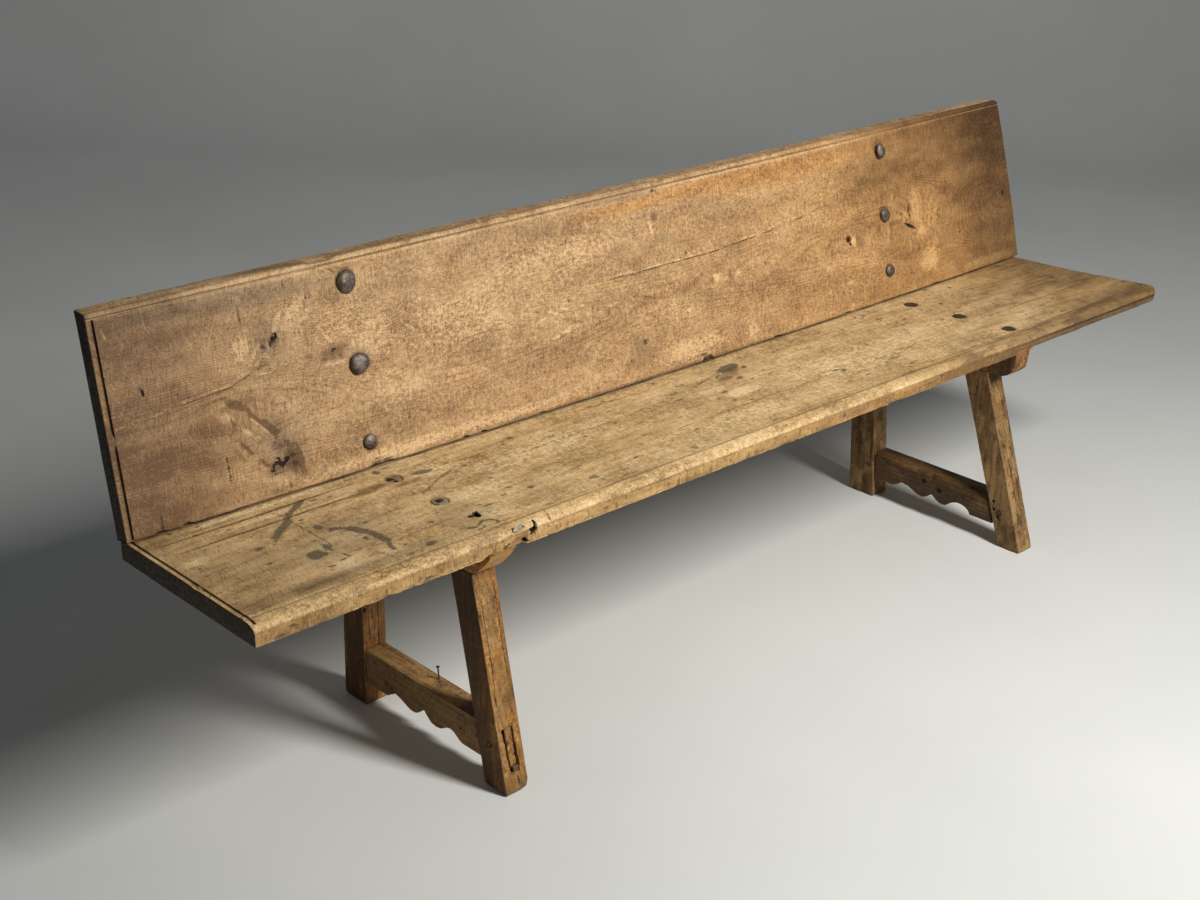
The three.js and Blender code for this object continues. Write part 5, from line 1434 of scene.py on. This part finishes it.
def cut_stretcher(t, moved, points, normals, tones, small):
    """The right stretcher's top arris is worn hollow and gouged. Both stretchers are painted dark underneath,
    painted shade, and on the top just behind the front leg, the leg's painted shadow.
    """
    upper = smooth(0.6, 0.95, normals[:, 2])
    # Downward faces are painted dark: painted shade.
    more(tones, grey=0.6, dirt=0.6 * smooth(0.3, -0.3, normals[:, 2]) * smooth(0.4, 0.9, -normals[:, 2]))
    if t["side"] == "left":
        # The top just behind the front leg is painted dark: the leg's painted shadow.
        more(tones, pale=most(0.3, 0.5 * upper), dirt=0.85 * upper * smooth(-215, -240, points[:, 1]))
        return
    left, top = t["x"] + STRETCHER_SET, t["stretcher"][1]
    near = np.exp(-(((moved[:, 0] - left) / 9) ** 2 + ((moved[:, 2] - top) / 8) ** 2))
    gouge = hump(moved[:, 1] + 155, 7) * hump(moved[:, 2] - top, 12)
    moved[:, 2] -= near * 5.0
    moved[:, 0] += near * 4.0 + gouge * hump(moved[:, 0] - left, 8) * 6
    spots = blots(points[:, 1], points[:, 2], [(-178.5, 73, 7, 5, 1.3), (-137.5, 81, 6, 5, 1.3)])
    tones["black"] = smooth(0.5, 0.8, spots + 0.6 * (small - 0.5))
    more(tones, dark=most(spots, 0.32 * patchy(0.5, 0.7, points, (9, 26, 9), 453, 4)))
    # The top just behind the front leg is painted dark: the leg's painted shadow.
    ragged = 0.7 * upper * smooth(-190, -250, points[:, 1]) * smooth(0.3, 0.6, small)
    more(tones, brown=0.8, pale=0.5 * upper, dirt=most(0.28, ragged))


for t, seed in ((LEFT, 301), (RIGHT, 401)):
    rail_piece(f"bearer_{t['side']}", t, seed, 2.2, raised_nose)
    rail_piece(f"stretcher_{t['side']}", t, seed + 40, 2.0, cut_stretcher)


# End of the through tenon, its wedge and the pegs. Corners are (across the leg, up its slope).
TENON_CORNERS = [(17.2, 107), (30, 108.5), (31.4, 60), (31.2, 48), (18.4, 46.5), (17, 75)]
WEDGE_CORNERS = [(22, 46), (33.8, 45.2), (33, 37.5), (23.5, 36.8)]
PEG_INSET = 1.1
PEG_FLAT = 3.9
PEG_SIDES = 8


def end_block(corners, depth_from, depth_to, t, seed, tint):
    """A block with a rough face, let into the leg's sloping front."""
    foot, top = t["leg_front"]
    length = math.hypot(top - foot, BEARER_BOTTOM)
    slope_y, slope_z = (top - foot) / length, BEARER_BOTTOM / length
    outline = along(corners + corners[:1], [1.5] * len(corners))
    middle = np.array(corners, float).mean(0)
    layers = []
    for f in np.linspace(0.02, 1.0, 14):
        u, v = (middle + (outline - middle) * f).T
        rough = layered(np.stack([u, v, u * 0], -1), (5, 9, 5), seed, 2)
        layers.append((u, v, depth_from + 1.7 * rough + 1.4 * smooth(0.86, 1.0, f)))
    u, v, d = layers[-1]
    layers += [(u, v, d + (depth_to - d) * share) for share in (0.25, 0.5, 1.0)]
    u, v, d = np.array(layers).transpose(1, 0, 2)
    shape = tube(np.stack([t["x"] + u, foot + slope_y * v + slope_z * d, slope_z * v - slope_y * d], -1))
    u, v, d = u.ravel(), v.ravel(), d.ravel()
    # The sides that run deep into the leg are painted dark: painted shade in the mortise.
    deep = smooth(depth_from + 3.0, depth_from + 5.5, d)
    dark = 0.8 * patchy(0.5, 0.7, np.stack([u, v, d], -1), (5, 8, 5), seed + 3, 2)
    tones = {"dirt": deep, "pale": 0.4 * (1 - deep), "dark": dark, tint: 0.9 * (1 - deep)}
    shape["data"] = wood_data(np.stack([d * 3, u, v], -1), u / 3 + v / 9, **tones)
    return shape


tenon_end = end_block(TENON_CORNERS, 1.6, 12, LEFT, 511, "warm")
piece("stretcher_left_tenon_end", tenon_end, leg_wood, [], sharp=50)
wedge = end_block(WEDGE_CORNERS, 1.8, 40, LEFT, 521, "grey")
piece("tenon_wedge_left_worn", wedge, end_wood, ["tenon_wedge_left"], sharp=50)


def peg_shape(t, y, z, seed):
    """A whittled peg: an uneven octagon with a slightly domed end on each side."""
    start, end = t["x"] + PEG_INSET, t["x"] + t["thick"] - PEG_INSET
    turns = np.linspace(0, 2 * math.pi, 24, endpoint=False) + seed
    corner = 2 * math.pi / PEG_SIDES
    flats = PEG_FLAT / np.cos((turns / corner % 1 - 0.5) * corner) * 0.98
    rings = []
    for x, share in (
        (start - 0.5, 0.05), (start - 0.45, 0.5), (start - 0.2, 0.85), (start + 0.3, 0.98), (start + 6, 1.0),
        (end - 6, 0.99), (end - 0.3, 0.97), (end + 0.2, 0.84), (end + 0.45, 0.5), (end + 0.5, 0.05),
    ):
        r = flats * share
        rings.append(np.stack([turns * 0 + x, y + r * np.cos(turns), z + r * np.sin(turns)], -1))
    shape = tube(np.array(rings))
    p = shape["points"]
    tones = {"dirt": 0.35 * noise(p, (3, 3, 3), seed), "dark": 0.6 * noise(p, (5, 2, 2), seed + 1)}
    shape["data"] = wood_data(np.stack([p[:, 0] * 4, p[:, 1], p[:, 2]], -1), p[:, 1] / 2, **tones)
    return shape


for t in TRESTLES:
    for k, (joint, (y, z)) in enumerate(peg_places(t).items()):
        name = f"peg_{joint}_{t['side']}"
        piece(name + "_whittled", peg_shape(t, y, z, 601 + k), end_wood, [name])


# Iron
BACK_NAIL = {"shank": 7.6, "length": 64}
SEAT_NAIL = {"shank": 5.8, "crown": 3.4, "power": 0.55}
SEAT_NAIL_LENGTH = 66
PUNCHED_HEAD = 18.0
DOME = 3.1  # width of a back nail's head by its height
NAIL_RIM = 1.6


def square_form(turns):
    """The distance to a square's outline in each direction, 1 at the middle of its sides."""
    return 1 / np.maximum(np.abs(np.cos(turns)), np.abs(np.sin(turns)))


def nail_shape(matrix, head, crown, shank, length, seed, oval=1.0, power=0.85, rust=0, soil=0, pits=()):
    """A forged nail along its own z axis: head above 0, square shank tapering below. A lower power gives a
    flatter head. Pits (x, y, radius) are black."""
    sides = 40
    turns = np.linspace(0, 2 * math.pi, sides, endpoint=False)
    square = square_form(turns)
    rng = np.random.default_rng(seed)
    uneven = 1.0
    for share, waves in ((0.045, 2), (0.03, 3), (0.02, 7)):
        uneven = uneven + share * np.sin(turns * waves + rng.uniform(0, 6))
    half, r = shank / 2, head / 2
    rows = [(half * 0.35, -length, square), (half * 0.7, -length * 0.5, square), (half, -4, square)]
    rows.append((half * 1.15, -0.2, square))
    rows += [(r * share, z, uneven) for share, z in ((0.75, 0.0), (0.94, 0.15), (0.985, 0.7), (1, 1.4))]
    for a in np.radians(np.linspace(8, 86, 13)):
        rows.append((r * math.cos(a) ** power, NAIL_RIM + (crown - NAIL_RIM) * math.sin(a), uneven))
    rows.append((r * 0.02, crown, uneven))
    rings, wear = [], []
    for radius, z, form in rows:
        x, y = radius * form * np.cos(turns) * oval, radius * form * np.sin(turns)
        p = np.stack([x, y, np.full(sides, z)], -1)
        rubbed = np.zeros(sides)
        if z > 1.0:
            # hammered facets
            facets = noise(p, (head / 3.2, head / 3.2, 40), seed)
            fine = noise(p, (2.2, 2.2, 2.2), seed + 1)
            p[:, 2] -= z * (0.20 * facets + 0.06 * fine)
            rubbed = 0.5 * smooth(0.55, 0.8, facets) * smooth(0.3, 0.8, z / crown) + 0.3 * (fine > 0.75)
        rings.append(p)
        wear.append(rubbed)
    place = np.concatenate(rings)
    in_space = (np.column_stack([place, np.ones(len(place))]) @ np.array(matrix).T)[:, :3]
    shape = tube(in_space.reshape(len(rows), sides, 3))
    wear = np.concatenate(wear)
    black = np.zeros(len(place))
    for x, y, pit in pits:
        edge = pit + 3.0 * (noise(place, (3, 3, 3), seed + 2) - 0.5)
        black = most(black, smooth(edge + 1, edge - 1, np.hypot(place[:, 0] - x, place[:, 1] - y)))
    cover = 0.7 + 0.6 * (noise(place, (4, 4, 4), seed + 3) - 0.5)
    shape["data"] = {
        "wear": wear * (1 - rust), "rust": wear * 0 + rust, "soil": np.clip(cover * soil, 0, 1),
        "black": black,
    }
    return shape


# What covers the seat's nail heads: those of the left trestle have sunk and filled with dirt
COATS = {
    ("left", "rear"): {"rust": 0.8, "soil": 0.75, "pits": [(-6, 2, 6.5), (-2, -8, 4), (7, 8, 3)]},
    ("left", "middle"): {"rust": 0.8, "soil": 1.0, "pits": [(-2.5, 0, 6.5), (3, -1, 3)]},
    # The punched nail's head is painted black all over: painted shade at the bottom of its hole.
    ("left", "front"): {"rust": 1.0, "pits": [(0, 0, 12)]},
}
RUSTY = {"rust": 0.85}
# Width across the height of the back's nail heads that aren't round
OVALS = {("right", "top"): 0.78, ("left", "middle"): 1.04, ("right", "middle"): 0.96}


def back_nail_matrix(t, share, up, proud):
    x = t["x"] + t["thick"] * share
    slope = -2 * BOARD_BOW * x / BOARD_LEFT[0] ** 2
    place = Matrix.Translation((0, 0, BOARD_FOOT)) @ Matrix.Rotation(-LEAN, 4, "X")
    turn = Matrix.Rotation(math.atan(-slope), 4, "Z") @ Matrix.Rotation(math.pi / 2, 4, "X")
    return place @ Matrix.Translation((x, -bow(x) - proud + 0.9, up)) @ turn


def nail_piece(node, shape):
    piece(f"{node}_forged", shape, iron, [node], sharp=60)


for t in TRESTLES:
    side = t["side"]
    seed = 10 * (side == "right")
    for k, (row, (share, up, head, proud)) in enumerate(t["back_nails"].items()):
        nail_piece(f"back_nail_{side}_{row}", nail_shape(
            back_nail_matrix(t, share, up, proud), head, crown=head / DOME, seed=701 + k + seed,
            oval=OVALS.get((side, row), 1.0), **BACK_NAIL,
        ))
    for k, (row, (share, y, sunk)) in enumerate(t["seat_nails"].items()):
        top = SEAT_TOP - sunk - 0.9 - SEAT_NAIL["crown"]
        nail_piece(f"seat_nail_{side}_{row}", nail_shape(
            Matrix.Translation((t["x"] + t["thick"] * share, y, top)) @ Matrix.Rotation(0.1 * k, 4, "Z"),
            PUNCHED_HEAD if sunk > PUNCHED else 2 * SEAT_NAIL_RADIUS, length=SEAT_NAIL_LENGTH - max(sunk, 0),
            seed=731 + k + seed, **SEAT_NAIL, **COATS.get((side, row), RUSTY),
        ))


def bent_wire(node, path, radius, material, head=0.0, square=False):
    """A thin bar along a path of points, tapered at its start, with a small head at its end."""
    path = np.array(path, float)
    tangents = np.gradient(path, axis=0)
    tangents /= np.linalg.norm(tangents, axis=1, keepdims=True)
    turns = np.linspace(0, 2 * math.pi, 16, endpoint=False)
    form = square_form(turns) ** 0.8 if square else np.ones(16)
    side = np.cross(tangents[0], (0.3, 0.9, 0.1))
    widths = [radius * (0.25 + 0.75 * min(1, k / 2)) for k in range(len(path))]
    stations = list(zip(path, tangents, widths))
    end, tangent = path[-1], tangents[-1]
    ending = [(0.4, radius * 0.5)]
    if head:
        ending = [(0.05, head * 0.8), (0.3, head), (1.1, head), (1.5, head * 0.75), (1.6, head * 0.1)]
    stations += [(end + tangent * a, tangent, width) for a, width in ending]
    rings = []
    for place, tangent, width in stations:
        side = side - tangent * np.dot(side, tangent)
        side /= np.linalg.norm(side)
        other = np.cross(tangent, side)
        ring = (np.cos(turns)[:, None] * side + np.sin(turns)[:, None] * other) * (form * width)[:, None]
        rings.append(place + ring)
    shape = tube(np.array(rings))
    mottled = noise(shape["points"], (4, 4, 4), 811)
    # The square nail gets a pale painted highlight where it shows in the chip.
    shape["data"] = {"wear": 0.6 * mottled, "bare": mottled * 0 + 0.9 * square * smooth(0.1, 0.4, mottled)}
    piece(f"{node}_bent", shape, material, [node], sharp=60)


foot = np.array([LEFT["x"] + 35, -141.0, LEFT["stretcher"][1]])
wire_path = foot + np.array([
    (0, 0, -12), (0, 0, -8), (0, 0, 0), (0.1, 0.4, 5), (0, 0.8, 10), (-0.4, 0.8, 15), (-1.0, 0.5, 19),
    (-1.6, 0, 22.4),
])
bent_wire("wire_nail", wire_path, 1.3, wire, head=3.2)
edge_path = [(-666 + 34 * s, -328.0 + 11 * s, 447.0 + 1.0 * math.sin(3 * s)) for s in np.linspace(0, 1, 9)]
bent_wire("edge_nail", edge_path, 2.3, iron, square=True)


# Floor and backdrop, in metres
YAW, PITCH, ROLL = 0.7590, 0.4023, 0.0162
STAGE_NEAR, STAGE_FAR = 4.8, 24.0
STAGE_CURVE, STAGE_CORNER = 1.2, 3.0
STAGE_HEIGHT = 16.0


def stage_sheet():
    """A pale floor that turns up into walls. One stands close behind the bench, square to the camera's view,
    and the others are far off."""
    forward = np.array([math.sin(YAW), math.cos(YAW)])
    sideways = np.array([forward[1], -forward[0]])
    turns = np.radians(np.linspace(0, 90, 13))
    profile = [(STAGE_CURVE * (1 - math.sin(a)), STAGE_CURVE * (1 - math.cos(a))) for a in turns]
    points, faces = [], []
    for inset, z in profile + [(0.0, STAGE_HEIGHT)]:
        radius = STAGE_CORNER - inset
        for cx, cy, start in ((1, 1, 0), (-1, 1, 90), (-1, -1, 180), (1, -1, 270)):
            middle_x = cx * (STAGE_FAR - STAGE_CORNER)
            middle_y = (STAGE_NEAR if cy > 0 else -STAGE_FAR) - cy * STAGE_CORNER
            for w, d in arc(middle_x, middle_y, radius, radius, start, start + 90, 8):
                points.append((*(forward * d + sideways * w), z))
    around = 36
    faces.append(list(range(around)))
    for k in range(len(profile)):
        for m in range(around):
            n = (m + 1) % around
            faces.append((k * around + m, (k + 1) * around + m, (k + 1) * around + n, k * around + n))
    mesh = bpy.data.meshes.new("studio_floor")
    mesh.from_pydata(points, [], faces)
    mesh.shade_smooth()
    material = bpy.data.materials.new("studio_paper")
    n = Nodes(material)
    place = n.add("ShaderNodeTexCoord").outputs["Object"]
    cloud = n.noise(place, (1.1, 1.1, 1.1), 3)
    grit = n.noise(place, (60, 60, 60), 4)
    color = n.mix(n.ramp(cloud, 0.3, 0.7), (0.67, 0.695, 0.69), (0.72, 0.745, 0.74))
    n.finish(color, n.ramp(grit, 0.3, 0.7, 0.75, 0.9), n.bump(grit, 0.0004, 0.3))
    mesh.materials.append(material)
    obj = bpy.data.objects.new("studio_floor", mesh)
    bpy.context.scene.collection.objects.link(obj)


stage_sheet()


# Camera, fitted to the edges of the planks and legs in the photo
forward = np.array([math.sin(YAW) * math.cos(PITCH), math.cos(YAW) * math.cos(PITCH), -math.sin(PITCH)])
level = np.array([math.cos(YAW), -math.sin(YAW), 0.0])
above = np.cross(level, forward)
c, s = math.cos(ROLL), math.sin(ROLL)
axis_x, axis_y = c * level + s * above, c * above - s * level
eye = np.array([-2226.73, -2160.39, 1604.82]) * MM + ORIGIN
camera = bpy.data.cameras.new("camera")
camera.sensor_width = 36.0
camera.lens = 53.18
camera.clip_end = 60
view = bpy.data.objects.new("camera", camera)
rows = [[axis_x[k], axis_y[k], -forward[k], eye[k]] for k in range(3)] + [[0, 0, 0, 1]]
view.matrix_world = Matrix(rows)
bpy.context.scene.collection.objects.link(view)
bpy.context.scene.camera = view


def lamp(name, place, aim, size, energy, color):
    data = bpy.data.lights.new(name, "AREA")
    data.shape = "RECTANGLE"
    data.size, data.size_y = size
    data.energy = energy
    data.color = color
    obj = bpy.data.objects.new(name, data)
    obj.location = place
    obj.rotation_euler = (Vector(aim) - Vector(place)).to_track_quat("-Z", "Y").to_euler()
    bpy.context.scene.collection.objects.link(obj)


lamp("key", (0.2, -2.3, 2.4), (0.1, 0.12, 0.45), (0.55, 1.1), 113, (1.0, 0.965, 0.91))
world = bpy.data.worlds.new("studio")
world.use_nodes = True
background = world.node_tree.nodes["Background"]
background.inputs[0].default_value = (0.93, 0.95, 1.0, 1)
background.inputs[1].default_value = 0.10
bpy.context.scene.world = world
bpy.context.scene.view_settings.view_transform = "Standard"
